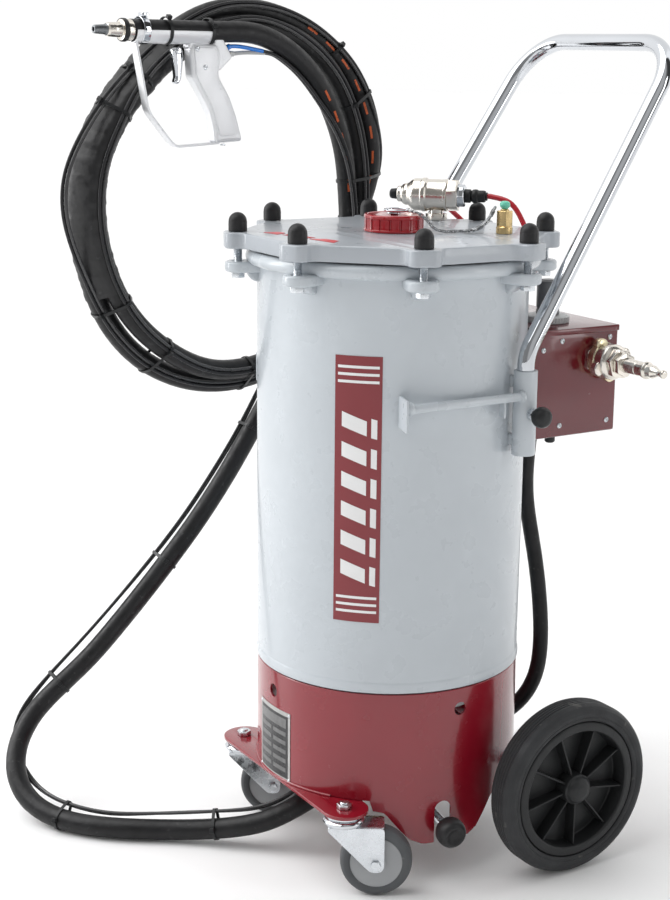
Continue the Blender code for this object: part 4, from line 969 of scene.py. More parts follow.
def make_exhaust_valve():
    """The dump valve lies across the lid's corner, nub first, with a hex and an elbow at its far end."""
    foot = at(VALVE_FOOT)
    hexagon("valve_stem_hex", 0.0006, 0.01, 0.0165, NICKEL, foot)
    turned("valve_stem", [(0, VALVE_H), (0.01, VALVE_H), (0.01, 0.009), (0, 0.009)], NICKEL, foot, 40,
        node="exhaust_valve", slot="nickel")
    aim = aimed((1, 1, 0))
    lie = at(VALVE_FOOT + Vector((0, 0, VALVE_H))) @ aim
    barrel = mm((0, -59), (10.5, -59), (12, -57.5), (12, -53), (15, -50), (16.5, -46), (16.5, -43),
        (21.5, -37), (23.8, -33), (23.8, -22), (25, -20.5), (25, -15), (23.8, -14), (23.2, -12), (23.2, 12),
        (23.8, 13.5), (23.8, 17), (0, 17))
    turned("valve_barrel", barrel[::-1], NICKEL, lie, 96, rounding=0.0007)
    hexagon("valve_hex", 0.017, 0.033, 0.0238, NICKEL, lie @ spun(0.2))
    turned("valve_ring", mm((0, 43), (15, 43), (16.5, 41.5), (16.5, 35), (18, 33), (0, 33)), CHROME, lie, 64)
    turned("valve_collar", mm((0, 52), (8.5, 52), (10, 50.5), (10, 43), (0, 43)), BLACK_PLASTIC, lie, 48)
    turned("valve_lobe", mm((0, 66), (6, 65), (9.8, 61.5), (10.4, 58), (9.8, 54.5), (7, 51.5), (0, 51)),
        BLACK_PLASTIC, lie, 48)
    turned("valve_nub", mm((0, -59), (7.2, -59), (8, -61.5), (7.2, -69), (4.5, -71), (0, -71)), BLACK_PLASTIC,
        lie, 48)
    start, ahead = Vector(VENT_ROUTE[0]), (Vector(VENT_ROUTE[1]) - Vector(VENT_ROUTE[0])).normalized()
    rod("vent_elbow", start - ahead * 0.01, start + ahead * 0.008, 0.0088, BLACK_PLASTIC, 0.003)
    rod("vent_release", start + ahead * 0.008, start + ahead * 0.0105, 0.0062, BLACK_PLASTIC, 0.0008)
    start, ahead = Vector(PILOT_ROUTE[0]), (Vector(PILOT_ROUTE[1]) - Vector(PILOT_ROUTE[0])).normalized()
    rod("pilot_elbow", start - ahead * 0.008, start + ahead * 0.006, 0.007, BLACK_PLASTIC, 0.0015)


VENT_ROUTE = mm((-60.5, 189.5, 930), (-48, 202, 930), (-23, 220, 920), (2, 228, 885), (20, 230, 845),
    (32, 235, 805), (21, 245, 775), (21, 245, 759))
PILOT_ROUTE = mm((-133, 166.5, 925), (-145, 179, 920), (-156, 200, 904), (-148, 220, 884), (-120, 239, 850),
    (-75, 252, 805), (-42, 250, 775), (-42, 250, 759))


def make_lid_lines():
    for name, node, route in (("vent_tube", "vent_line", VENT_ROUTE),
            ("pilot_tube", "pilot_line", PILOT_ROUTE)):
        tube(name, smooth_path(route, 0.005), 0.004, RED_TUBE, node=node, slot="red_plastic")
        end = Vector(route[-1])
        rod(f"{name}_gland", end + Vector((0, 0, -0.0003)), end + Vector((0, 0, 0.008)), 0.0075,
            BLACK_PLASTIC, 0.001)
        hexagon(f"{name}_nut", 0.0, 0.004, 0.0095, NICKEL, at(end))


def make_bleed_valve():
    """A square brass block on a round foot, with a mint plug that pulls up."""
    place = at(BLEED)
    turned("bleed_foot", mm((0, 11), (9, 11), (11.5, 9), (11.5, 0.3), (0, 0.3)), BRASS, place, 40,
        node="bleed_valve", slot="brass")
    square = mm((-8.2, -8.2), (8.2, -8.2), (8.2, 8.2), (-8.2, 8.2))
    middle = place @ spun(radians(20)) @ at((0, 0, 0.0208))
    plate("bleed_block", [rounded(square, 0.0016, True)], 0.022, BRASS, middle, 0.0012, 3)
    turned("bleed_seat", mm((0, 34), (5.2, 34), (6, 33.2), (6, 31), (0, 31)), BRASS, place, 40)
    plug = mm((0, 45), (4, 44.8), (6.6, 43), (7.4, 40), (6.6, 37), (4.5, 35), (4.3, 34.3), (0, 34.3))
    turned("bleed_knob", plug, MINT_PLASTIC, place, 48, body="bleed_knob", node="bleed_plug",
        slot="mint_plastic")


# ---------------------------------------------------------------- handle, brackets, control box


def rounded_path(corners, radii, steps):
    """A path through corners, where each inner corner is an arc of its own radius."""
    corners = [Vector(corner) for corner in corners]
    path = [corners[0]]
    for before, corner, after, radius in zip(corners, corners[1:], corners[2:], radii):
        back = (before - corner).normalized()
        ahead = (after - corner).normalized()
        half = back.angle(ahead) / 2
        centre = corner + (back + ahead).normalized() * (radius / sin(half))
        first = corner + back * radius / tan(half) - centre
        last = corner + ahead * radius / tan(half) - centre
        sweep = first.angle(last)
        for i in range(steps + 1):
            share = i / steps
            blend = first * sin((1 - share) * sweep) + last * sin(share * sweep)
            path.append(centre + blend / sin(sweep))
    path.append(corners[-1])
    return path


def make_handle():
    corners = [LEG, (LEG.x, LEG.y, BEND_Z), GRIP, (-GRIP.x, GRIP.y, GRIP.z), (-LEG.x, LEG.y, BEND_Z),
        (-LEG.x, LEG.y, LEG.z)]
    path = rounded_path(corners, [0.06, 0.08, 0.08, 0.06], 20)

    def build(bm):
        swept(bm, path, HANDLE_R, 40)

    put("push_handle", mesh_of("push_handle", build), CHROME, body="handle", node="handle", slot="chrome")


def make_bracket(name, side):
    """The handle's socket on two spacers, the hose rod with its tab, gusset and welds, and the lock knob."""
    x, y = side * LEG.x, LEG.y
    bore, outer = HANDLE_R + 0.0006, 0.0163
    socket = [(outer, 0.72), (outer, 0.603), (bore, 0.603), (bore, 0.72)]
    turned(f"socket_{name}", socket, GREY_PAINT, at((x, y, 0)), 56, closed=True, rounding=0.0012,
        node=f"side_bracket_{name}", slot="grey_paint")
    out = Vector((x, y, 0)).normalized()
    heading = spun(atan2(out.y, out.x))
    for k, height in enumerate((0.622, 0.703)):
        block(f"spacer_{name}_{k}", (VESSEL_R - 0.001, -0.005, height - 0.008),
            (0.1975, 0.005, height + 0.008), GREY_PAINT, heading, 0.002)
    rod(f"hose_rod_{name}", (side * ROD_X, -0.1045, ROD_Z), (side * ROD_X, y - 0.012, ROD_Z), 0.006,
        GREY_PAINT, 0.0014)
    reach = side * 0.0415
    swing = at((side * 0.1665, -0.0934, 0)) @ Matrix.Rotation(-side * 0.318, 4, "Z")
    block(f"rod_tab_{name}", (min(0, reach), -0.002, 0.656), (max(0, reach), 0.002, 0.699), GREY_PAINT, swing,
        0.0016)
    low = (min(side * 0.19, side * 0.203), 0.05, 0.66)
    block(f"rod_gusset_{name}", low, (max(side * 0.19, side * 0.203), 0.053, 0.688), GREY_PAINT, bevel=0.001)
    for k, (bead, radius) in enumerate((((side * ROD_X, -0.099, ROD_Z + 0.001), 0.0088),
            ((side * ROD_X, 0.08, ROD_Z), 0.0085))):
        profile = [(radius * cos(t), 0.7 * radius * sin(t))
            for t in [pi / 2 - pi * i / 12 for i in range(13)]]
        turn = at(bead) @ STAND
        turned(f"weld_{name}_{k}", profile, GREY_PAINT, turn, 28, rounding=0, wave=lambda a, r,
            h: 0.0006 * sin(5 * a + 900 * h) if r > 0.001 else 0.0)
    boss = mm((0, 0.3), (8.5, 0.3), (8.5, -8.5), (0, -8.5))
    centre = (side * 0.2128, y, KNOB_Z)
    turned(f"lock_boss_{name}", boss, ZINC, about_x(centre, side), 40)
    knob = mm((0, 26), (6, 25.6), (10.5, 23.8), (13.5, 20), (14.6, 15), (14.3, 11), (12, 6.5), (8.2, 4),
        (8, 0.6), (0, 0.6))
    turned(f"lock_{name}", knob, BLACK_PLASTIC, about_x(centre, side), 56, body=f"lock_{name}",
        node=f"lock_knob_{name}", slot="black_plastic")


def make_control_box():
    """A sheet-metal box saddled on the vessel, with screws on its side and the inlet's hole."""
    shell = block("box_shell", (-BOX_X, 0.146, BOX_LOW_Z), (BOX_X, 0.304, BOX_TOP_Z), BOX_PAINT, bevel=0.0035,
        segments=4, node="control_box", slot="red_paint")
    hollow = cuboid("box_hollow", (-0.126, 0.205, BOX_LOW_Z + 0.002), (0.126, 0.302, BOX_TOP_Z - 0.002))
    cut(shell, [bar("box_saddle", VESSEL_R + 0.003, (0, 0, 0.5), (0, 0, 0.8), 128),
        linked("box_hollow", hollow, HERE), bar("inlet_hole", 0.0205, (0.11, INLET.y, INLET.z),
        (0.15, INLET.y, INLET.z))])
    lip = block("box_lip", (-BOX_X - 0.0012, 0.1565, BOX_TOP_Z - 0.0085),
        (BOX_X + 0.0012, 0.3052, BOX_TOP_Z + 0.0004), BOX_PAINT, bevel=0.0016)
    cut(lip, [bar("lip_saddle", VESSEL_R + 0.0032, (0, 0, 0.5), (0, 0, 0.8), 128)])
    for k, (y, z) in enumerate(((0.202, 0.742), (0.288, 0.742), (0.169, 0.731), (0.202, 0.62),
            (0.288, 0.62))):
        screw = mm((0, 2.4), (2.4, 2.1), (4, 0.8), (4, 0), (0, 0))
        turned(f"box_screw_{k}", screw, ZINC, about_x((BOX_X, y, z)), 28, rounding=0.0003)
        cross = about_x((BOX_X + 0.0021, y, z)) @ spun(radians(20 + 31 * k))
        # Painted shade: a thin dark cross on each screw head stands in for the shadowed slot, which is not
        # cut into the head.
        for j in range(2):
            block(f"box_screw_slot_shade_{k}_{j}", (-0.0018, -0.00035, 0), (0.0018, 0.00035, 0.0006), STEEL_GREY_AND_SLOT_SHADE,
                cross @ spun(pi / 2 * j), 0.0001)
    turned("box_nub", mm((0, 0.3), (7.5, 0.3), (7.5, -9), (5, -11), (0, -11)), BLACK_PLASTIC,
        at((0.112, 0.2, BOX_LOW_Z)), 32)
    block("valve_core", (0.01, 0.212, 0.64), (0.08, 0.29, 0.735), CAST_ALUMINIUM, bevel=0.003,
        node="valve_block", slot="cast_aluminium")


def make_regulator():
    place = at(REGULATOR)

    def knurled(count, depth, low, high):
        def wave(angle, radius, height):
            if radius < 0.015 or height < low or height > high:
                return 0.0
            return -depth if (angle * count / (2 * pi)) % 1.0 < 0.4 else 0.0
        return wave

    collar = mm((0, 11.3), (29, 11.3), (30.5, 10.5), (31.8, 9.5), (31.8, 2.2), (30.5, 0.6), (0, 0.6))
    turned("regulator_nut", collar, PALE_PLASTIC, place, 320, rounding=0.0004,
        wave=knurled(40, 0.0012, 0.0025, 0.0092), node="regulator_collar", slot="grey_plastic")
    knob = mm((0, 62), (10, 62), (10.8, 61), (14, 61), (16.2, 60), (16.8, 58), (16.8, 22.5), (16, 21.5),
        (16, 19.5), (16.8, 18.5), (16.8, 12.2), (0, 12.2))
    turned("regulator_grip", knob, GREY_PLASTIC, place, 256, rounding=0.0006,
        wave=knurled(32, 0.0008, 0.024, 0.056), body="regulator", node="regulator_knob", slot="grey_plastic")


def claw_outline(reach, half):
    """Two hooked lugs in line, across a coupling half."""
    lobe = [(0.018, -half), (reach - 0.006, -half), (reach, -half * 0.4), (reach, half * 0.5),
        (reach - 0.005, half), (0.018, half * 0.8)]
    lobe = rounded([Vector(p) for p in lobe], 0.003)
    turn = [(-x, -y) for x, y in lobe]
    return rounded([Vector(p) for p in [tuple(p) for p in lobe] + turn], 0.0015, True, 1)


def make_inlet():
    fixed = mm((0, 20.3), (23.5, 20.3), (25.5, 18.5), (25.5, 6.5), (23.5, 4.5), (19, 3), (19, -35), (0, -35))
    turned("claw_half", fixed, PALE_BRASS, about_x(INLET), 72, node="inlet_claw", slot="nickel")
    middle = about_x(INLET + Vector((0.014, 0, 0))) @ spun(radians(20))
    plate("claw_lugs_fixed", [claw_outline(0.0335, 0.01)], 0.0118, PALE_BRASS, middle, 0.0022, 3)
    hexagon("inlet_nut", 0.0003, 0.0045, 0.025, NICKEL, about_x(INLET))
    body = "inlet_coupling"
    head = mm((0, 42), (20, 42), (22.5, 40), (24, 38.5), (25.5, 36), (25.5, 21.2), (0, 21.2))
    turned("plug_head", head, NICKEL, about_x(INLET), 72, body=body, node="inlet_plug", slot="nickel")
    middle = about_x(INLET + Vector((0.0277, 0, 0))) @ spun(radians(110))
    plate("claw_lugs_loose", [claw_outline(0.0335, 0.01)], 0.012, NICKEL, middle, 0.0022, 3, body=body)
    hexagon("plug_hex_wide", 0.042, 0.052, 0.0222, NICKEL, about_x(INLET) @ spun(0.3), body=body)
    hexagon("plug_hex_narrow", 0.053, 0.0625, 0.0178, NICKEL, about_x(INLET) @ spun(0.1), body=body)
    stem = mm((0, 143), (4.5, 143), (6, 141.5), (6, 138), (4.6, 136), (4.6, 130), (5.6, 128), (8.2, 121.5),
        (9.2, 120), (9.2, 110.5), (10.5, 109), (12.2, 107.5), (12.2, 103.5), (10.5, 101.5), (10.5, 90),
        (9.8, 89.2), (9.8, 88.4), (10.5, 87.6), (10.5, 62.5), (15, 62), (15, 52), (0, 52))
    turned("plug_nipple", stem, NICKEL, about_x(INLET), 72, body=body)


# ---------------------------------------------------------------- wheels, casters, outlet valve


def make_wheel(name, side):
    """Local Z points away from the vessel, and its zero is the tyre's inner face."""
    place = about_x((side * WHEEL_INNER_X, AXLE_Y, WHEEL_R), side)
    body = f"wheel_{name}"
    dish = mm((22.5, 23), (83.5, 20), (84.8, 21.5), (86, 44), (88, 46.2), (97.5, 45.2), (99.7, 43.5),
        (99.7, 5), (85, 3), (84, 15), (22.5, 15))
    turned(f"wheel_dish_{name}", dish, HUB_PLASTIC, place, 160, closed=True, rounding=0.0012, body=body,
        node=f"wheel_hub_{name}", slot="black_plastic")
    dome = mm((0, 56.5), (7.5, 56), (13.5, 54), (18, 50.5), (20.2, 46), (22.2, 44.5), (22.5, 15), (20, -4),
        (10.6, -4), (10.6, 45), (0, 45))
    turned(f"wheel_dome_{name}", dome, HUB_PLASTIC, place, 96, rounding=0.0012, body=body)
    for k in range(9):
        block(f"rib_{name}_{k}", (0.0215, -0.0013, 0.018), (0.0858, 0.0013, 0.0405), HUB_PLASTIC, place
            @ spun(2 * pi * k / 9), 0.0009, body=body)
    tread = []
    for k in range(5):
        z = 0.034 - 0.005 * k
        tread += [(WHEEL_R, z + 0.0014), (WHEEL_R, z - 0.0014), (WHEEL_R - 0.0014, z - 0.002),
            (WHEEL_R - 0.0014, z - 0.003)]
    tyre = mm((100.6, 44), (103, 46.2), (106, 46.3), (107.2, 45.6), (108.4, 46.7), (113, 47.8), (118.5, 46.2),
        (122.2, 42.5), (124.2, 37.5)) + tread
    tyre += mm((124.2, 10), (122.2, 5.5), (118.5, 1.8), (113, 0.2), (105, 0.8), (100.6, 4))
    turned(f"tyre_{name}", tyre, TYRE_RUBBER, place, 192, closed=True, rounding=0.0007, body=body,
        node=f"wheel_tyre_{name}", slot="tyre_rubber")


def make_caster(name, side):
    """A zinc fork on ball races, its rubber wheel, and the bolt that holds it to the base plate."""
    place = at((side * CASTER_X, CASTER_Y, 0)) @ spun(CASTER_ANGLE)
    body = f"swivel_{name}"
    top = PLATE_TOP - 0.0053
    upper = [(0, top), (0.0235, top), (0.025, top - 0.0012), (0.025, 0.115), (0.0225, 0.1138), (0, 0.1138)]
    turned(f"race_upper_{name}", upper, ZINC, place, 72, rounding=0.0005, body=body,
        node=f"caster_fork_{name}", slot="zinc")
    lower = mm((0, 114.2), (23.5, 114.2), (26.2, 113), (28.8, 110.5), (29, 107.5), (27.5, 105), (24, 103.5),
        (0, 103.5))
    turned(f"race_lower_{name}", lower, CHROME, place, 72, rounding=0.0005, body=body)
    shell = mm((-21.5, 104.5), (-21.5, 98.5), (32, 43.5), (37, 39.2), (45, 37.8), (52.5, 39.2), (56.5, 45),
        (56.5, 104.5))
    shell = rounded(shell, 0.006, True)
    for k, across in enumerate((-0.0195, 0.0195)):
        plate(f"cheek_{name}_{k}", [shell], 0.0024, ZINC, place @ at((0, across, 0)) @ STAND, 0.0009,
            body=body)
    crown = mm((-22, -19), (56, -19), (56, 19), (-22, 19))
    plate(f"crown_{name}", [rounded(crown, 0.006, True)], 0.0028, ZINC, place @ at((0, 0, 0.1034)), 0.0009,
        body=body)
    axle = place @ at((CASTER_TRAIL, 0, CASTER_R)) @ STAND
    turned(f"pin_{name}", mm((0, 23.5), (4, 23.5), (4, -23.5), (0, -23.5)), ZINC, axle, 32, body=body)
    for k, (low, high) in enumerate(((0.0208, 0.025), (-0.025, -0.0208))):
        hexagon(f"pin_nut_{name}_{k}", low, high, 0.0074, ZINC, axle, body=body)
    hexagon(f"caster_nut_{name}", PLATE_TOP + 0.0003, PLATE_TOP + 0.0072, 0.0105, ZINC, place, body=body)
    turned(f"caster_stud_{name}", mm((0, 134), (4.8, 134), (5.6, 133), (5.6, 118), (0, 118)), ZINC, place, 32,
        body=body)
    roller = f"roller_{name}"
    tread = mm((36, 13.5), (40, 14.8), (45, 14), (48.5, 11), (49.8, 6), (50, 0), (49.8, -6), (48.5, -11),
        (45, -14), (40, -14.8), (36, -13.5))
    turned(f"caster_tyre_{name}", tread, GREY_RUBBER, axle, 128, closed=True, rounding=0.0012, body=roller,
        node=f"caster_wheel_{name}", slot="tyre_rubber")
    core = mm((4.6, 15.8), (12, 15.8), (13, 12.5), (35, 12.2), (36.2, 13.2), (36.2, -13.2), (35, -12.2),
        (13, -12.5), (12, -15.8), (4.6, -15.8))
    turned(f"caster_core_{name}", core, CASTER_CORE, axle, 96, closed=True, rounding=0.0008, body=roller)


def make_outlet_valve():
    """The valve under the neck, with its hose spigot in front and its air port behind."""
    column = [(0, NECK_END_Z - 0.0004), (0.0238, NECK_END_Z - 0.0004), (0.0238, 0.156), (0.018, 0.152),
        (0.018, 0.128), (0.0228, 0.124), (0.0228, 0.066), (0.018, 0.0625), (0, 0.0625)]
    turned("outlet_body", column, BRASS, steps=64, rounding=0.001, node="outlet_valve", slot="brass")
    hexagon("outlet_hex", 0.129, 0.1515, 0.023, BRASS)
    rod("spigot", (0, -0.01, OUTLET_Z), (0, -0.0597, OUTLET_Z), 0.0142, BRASS)
    rod("rear_port", (0, 0.01, AIR_PORT_Z), (0, 0.0397, AIR_PORT_Z), 0.0103, BRASS)
    rod("line_port", (-0.008, -0.01, 0.14), (-0.008, -0.0297, 0.14), 0.0058, NICKEL)
    rod("pivot_stub", RADIAL * 0.01 + Vector((0, 0, 0.1)), RADIAL * 0.0285 + Vector((0, 0, 0.1)), 0.0083,
        BRASS)


def make_lever():
    """The lever comes out through the skirt's slot and ends in a dished rubber ball."""
    across = Vector((0, 0, 1)).cross(RADIAL)
    pivot = RADIAL * 0.036 + Vector((0, 0, 0.1))
    knob = RADIAL * 0.215 + Vector((0, 0, 0.0835))
    rod("lever_bar", pivot, knob, 0.0068, ZINC, body="lever", node="outlet_lever", slot="black_rubber")
    rod("lever_eye", pivot - across * 0.01, pivot + across * 0.01, 0.0074, ZINC, body="lever")
    ball = mm((0, 10.5), (6, 11.2), (10.5, 13.8), (12.5, 15), (14.8, 14.6), (18.5, 11.5), (20.7, 6), (21, 0),
        (20.3, -6), (17.2, -12.5), (12.5, -16.5), (10, -18), (0, -18))
    aim = at(knob) @ aimed(knob - pivot)
    turned("lever_ball", ball, BLACK_RUBBER, aim, 96, rounding=0.002, body="lever")


# ---------------------------------------------------------------- gun


def ring_place(along, up, out=GUN_N):
    return RING @ at((along, up, out))


def make_gun():
    """A half-pipe that cradles the hose, with the receiver, grip, port block, guard and trigger."""
    flat = ring_place(0, 0)
    body = mm((-53, 222.5), (-47.5, 206), (-53, 179), (-35, 152), (-23, 124), (-13, 90), (-16, 86.5),
        (-56, 84.5), (-59, 88), (-61, 108), (-68, 132), (-90, 168), (-96, 176), (-98.5, 222.5))
    plate("receiver", [rounded(body, 0.01, True, 5)], 0.0235, CAST_ALUMINIUM, flat, 0.0055, 5,
        node="gun_body", slot="cast_aluminium")
    shell = rounded(arc((0, 0), 0.0178, 88, 272, 24) + arc((0, 0), 0.0155, 272, 88, 24), 0.0006, True, 2)
    lie = ring_place(-0.1255, BARREL_W) @ Matrix.Rotation(pi / 2, 4, "Y") @ Matrix.Rotation(pi / 2, 4, "Z")
    plate("cradle", [shell], 0.119, CAST_ALUMINIUM, lie, 0.0004, 2)
    bridge = rounded(mm((-101, 215), (-99, 224.5), (-52, 224.5), (-49, 210)), 0.004, True)
    plate("cradle_web", [bridge], 0.018, CAST_ALUMINIUM, flat, 0.003, 4)
    cover = mm((-94, 217), (-90.5, 179), (-86, 170.5), (-64, 134), (-56, 108), (-53, 94), (-25, 96),
        (-31, 123), (-43, 150), (-60, 179), (-54.5, 204), (-58, 217))
    plate("cover_plate", [rounded(cover, 0.006, True, 5)], 0.027, CAST_ALUMINIUM, flat, 0.0012, 3)
    for k, (along, up) in enumerate(((-0.089, 0.215), (-0.0765, 0.19))):
        head = mm((0, 1.6), (2.6, 1.4), (3.7, 0.6), (3.7, 0), (0, 0))
        turned(f"gun_screw_{k}", head, ZINC, ring_place(along, up, GUN_N + 0.0134), 32, rounding=0.0002)
        # Painted shade: a thin dark cross on each screw head stands in for the shadowed slot, which is not
        # cut into the head.
        for j in range(2):
            block(f"gun_screw_slot_shade_{k}_{j}", (-0.002, -0.0004, 0.0012), (0.002, 0.0004, 0.0018), STEEL_GREY_AND_SLOT_SHADE,
                ring_place(along, up, GUN_N + 0.0134) @ spun(0.4 + pi / 2 * j), 0.0001)
    ports = mm((-58, 230), (-45, 231.5), (-28.5, 204), (-50, 185), (-66, 184))
    plate("port_block", [rounded(ports, 0.004, True, 4)], 0.02, CAST_ALUMINIUM, flat, 0.0028, 4)
    for k, path in enumerate((LINE_A, LINE_B)):
        end, before = path[-1], path[-3]
        back = (before - end).normalized()
        rod(f"gun_port_{k}", end - back * 0.01, end - back * 0.0006, 0.0052, NICKEL, 0.0008)
        rod(f"gun_port_sleeve_{k}", end + back * 0.0006, end + back * 0.007, 0.004, LINE_BLUE
            if k == 0 else PALE_PLASTIC, 0.0006)
    guard = mm((-180, 223), (-162.8, 130), (-128.8, 90), (-119, 82.3), (-50, 86.2))
    outer = mm((-183.5, 223), (-165.6, 128.8), (-130.8, 87.6), (-120, 79.2), (-50, 83.2))
    strip = rounded(guard, 0.01, False, 5) + rounded(outer, 0.01, False, 5)[::-1]
    plate("guard", [strip], 0.016, CAST_ALUMINIUM, flat, 0.001, 2)
    turn = ring_place(-0.04, 0.082) @ Matrix.Rotation(-pi / 2, 4, "X") @ Matrix.Rotation(pi, 4, "X")
    hexagon("guard_screw", -0.0012, 0.0014, 0.0044, ZINC, turn)
    trigger = mm((-124.5, 215), (-108, 215), (-106, 203), (-109, 185), (-110, 174), (-114, 167.2),
        (-119, 166.4), (-121.4, 170), (-119, 176), (-120, 185), (-122.5, 203))
    plate("trigger_lever", [rounded(trigger, 0.004, True, 4)], 0.0115, CHROME, flat, 0.0032, 4,
        body="trigger", node="gun_trigger", slot="chrome")
    turned("trigger_boss", mm((0, 8.3), (3.5, 8.3), (4.6, 7), (4.6, -7), (3.5, -8.3), (0, -8.3)), CHROME,
        ring_place(-0.115, 0.212), 40, body="trigger")


def make_nozzle():
    aim = aimed((-1, 0, 0))
    place = ring_place(-0.1868, BARREL_W) @ aim
    holder = mm((0, 38), (8.4, 38), (9.5, 35), (10, 26), (10, 16), (14.5, 15.5), (14.5, 0.2), (0, 0.2))
    piece = turned("nozzle_holder", holder, NICKEL, place, 56, node="gun_nozzle", slot="nickel")
    turned("nozzle_washer", mm((9.8, 15.5), (15.2, 15.5), (15.8, 14), (15.8, 9.5), (15, 8), (9.8, 8)),
        BLACK_RUBBER, place, 56, closed=True, rounding=0.0006)
    tip = mm((3, 57), (5, 57), (5.8, 55), (6.8, 40), (8.4, 37.6), (3, 37.6))
    turned("nozzle_tip", tip, STEEL_GREY_AND_SLOT_SHADE, place, 48, closed=True, rounding=0.0005)
    clamp = ring_place(-0.17, BARREL_W) @ aim
    band = mm((18.2, 5.5), (19, 4.8), (19, -4.8), (18.2, -5.5), (17.9, -5), (17.9, 5))
    turned("hose_clamp", band, CHROME, clamp, 72, closed=True, rounding=0.0003)
    block("clamp_housing", (-0.1745, BARREL_W + 0.018, GUN_N - 0.001),
        (-0.1655, BARREL_W + 0.0235, GUN_N + 0.011), CHROME, RING, 0.0012)
    rod("clamp_screw", (-0.17, BARREL_W + 0.0208, GUN_N + 0.011), (-0.17, BARREL_W + 0.0208, GUN_N + 0.017),
        0.0028, ZINC, place=RING)
    return piece


# ---------------------------------------------------------------- ties, tape and marks on the hose


def hull_loop(spots, radii):
    """A loop round several circles in a plane, as far out as each of them reaches in every direction."""
    cloud = []
    for (x, y), radius in zip(spots, radii):
        cloud += circle(radius, 24, (x, y))
    cloud = sorted(set((round(x, 6), round(y, 6)) for x, y in cloud))

    def half(points):
        line = []
        for p in points:
            while len(line) > 1 and ((line[-1][0] - line[-2][0]) * (p[1] - line[-2][1])
                    - (line[-1][1] - line[-2][1]) * (p[0] - line[-2][0])) <= 0:
                line.pop()
            line.append(p)
        return line

    return half(cloud)[:-1] + half(cloud[::-1])[:-1]


def strands_at(centre, ahead, reach):
    """Where each hose or line crosses the plane through a point, as (across, up) and radius."""
    side = ahead.cross(Vector((0, 0, 1)))
    side = side.normalized() if side.length > 0.05 else ahead.orthogonal().normalized()
    over = ahead.cross(side).normalized()
    spots, radii = [], []
    for path, radius in ((HOSE_PATH, HOSE_R), (LINE_A, LINE_R), (LINE_B, LINE_R)):
        for a, b in zip(path, path[1:]):
            near, far = (a - centre).dot(ahead), (b - centre).dot(ahead)
            if near * far <= 0 and near != far:
                hit = a.lerp(b, near / (near - far)) - centre
                if hit.length < reach:
                    spots.append((hit.dot(side), hit.dot(over)))
                    radii.append(radius)
    return side, over, spots, radii


def belt(name, centre, ahead, reach, head):
    """A cable tie round every strand near a point, with its square head towards a direction."""
    ahead = ahead.normalized()
    side, over, spots, radii = strands_at(centre, ahead, reach)
    inner = hull_loop(spots, [r + TIE_GAP for r in radii])
    outer = hull_loop(spots, [r + TIE_GAP + TIE_THICK for r in radii])

    def build(bm):
        rings = []
        for loop, shift in ((inner, -0.5), (outer, -0.5), (outer, 0.5), (inner, 0.5)):
            edge = centre + ahead * TIE_WIDTH * shift
            rings.append([bm.verts.new(edge + side * x + over * y) for x, y in loop])
        skin(bm, [rings[1], rings[2]])
        skin(bm, [rings[3], rings[0]])
        for first, second in ((rings[0], rings[1]), (rings[2], rings[3])):
            edges = [bm.edges.get(pair) for ring in (first, second)
                for pair in zip(ring, ring[1:] + ring[:1])]
            bmesh.ops.bridge_loops(bm, edges=edges)

    put(name, mesh_of(name, build, 50), BLACK_PLASTIC)
    aim = (head - ahead * head.dot(ahead)).normalized()
    best = max(outer, key=lambda p: (side * p[0] + over * p[1]).dot(aim))
    spot = centre + side * best[0] + over * best[1]
    place = at(spot) @ Matrix((ahead.cross(aim), ahead, aim)).transposed().to_4x4()
    block(f"{name}_head", (-0.0036, -0.0032, -0.001), (0.0036, 0.0032, 0.0042), BLACK_PLASTIC, place, 0.0007)


def make_sleeve(name, first, last):
    """Black tape round the hose's turns between two angles of the ring, with soft uneven edges."""
    sides, step = 48, 1.0

    def build(bm):
        rings = []
        for k in range(int((last - first) / step) + 1):
            angle = first + step * k
            a = radians(angle)
            out = RING_TURN @ Vector((cos(a), sin(a), 0))
            across = RING_TURN @ Vector((0, 0, 1))
            spots = [keyed(HOSE_TURNS, angle + 360 * turn) for turn in range(2)]
            middle = (sum(r for r, d in spots) / len(spots), sum(d for r, d in spots) / len(spots))
            swell = 0.0009 + 0.0005 * sin(a * 55) + 0.0003 * sin(a * 131 + 1)
            swell -= 0.0006 * (k in (0, int((last - first) / step)))
            ring = []
            for i in range(sides):
                t = 2 * pi * i / sides
                reach = max((r - middle[0]) * cos(t) + (d - middle[1]) * sin(t) for r,
                    d in spots) + HOSE_R + swell
                ring.append((middle, t, reach))
            points = []
            for i in range(sides):
                (centre, t, reach), after = ring[i], ring[(i + 1) % sides]
                turn = after[1] - t if i < sides - 1 else 2 * pi - t
                slope = (after[2] - ring[i - 1][2]) / (2 * turn)
                points.append((centre[0] + reach * cos(t) - slope * sin(t), centre[1] + reach * sin(t)
                    + slope * cos(t)))
            rings.append([bm.verts.new(RING_CENTRE + out * r + across * d) for r, d in points])
        skin(bm, rings)
        bm.faces.new(rings[0])
        bm.faces.new(rings[-1])

    put(name, mesh_of(name, build, 70), TAPE)


TO_VIEWER = Vector((0.8, -0.52, 0.28))


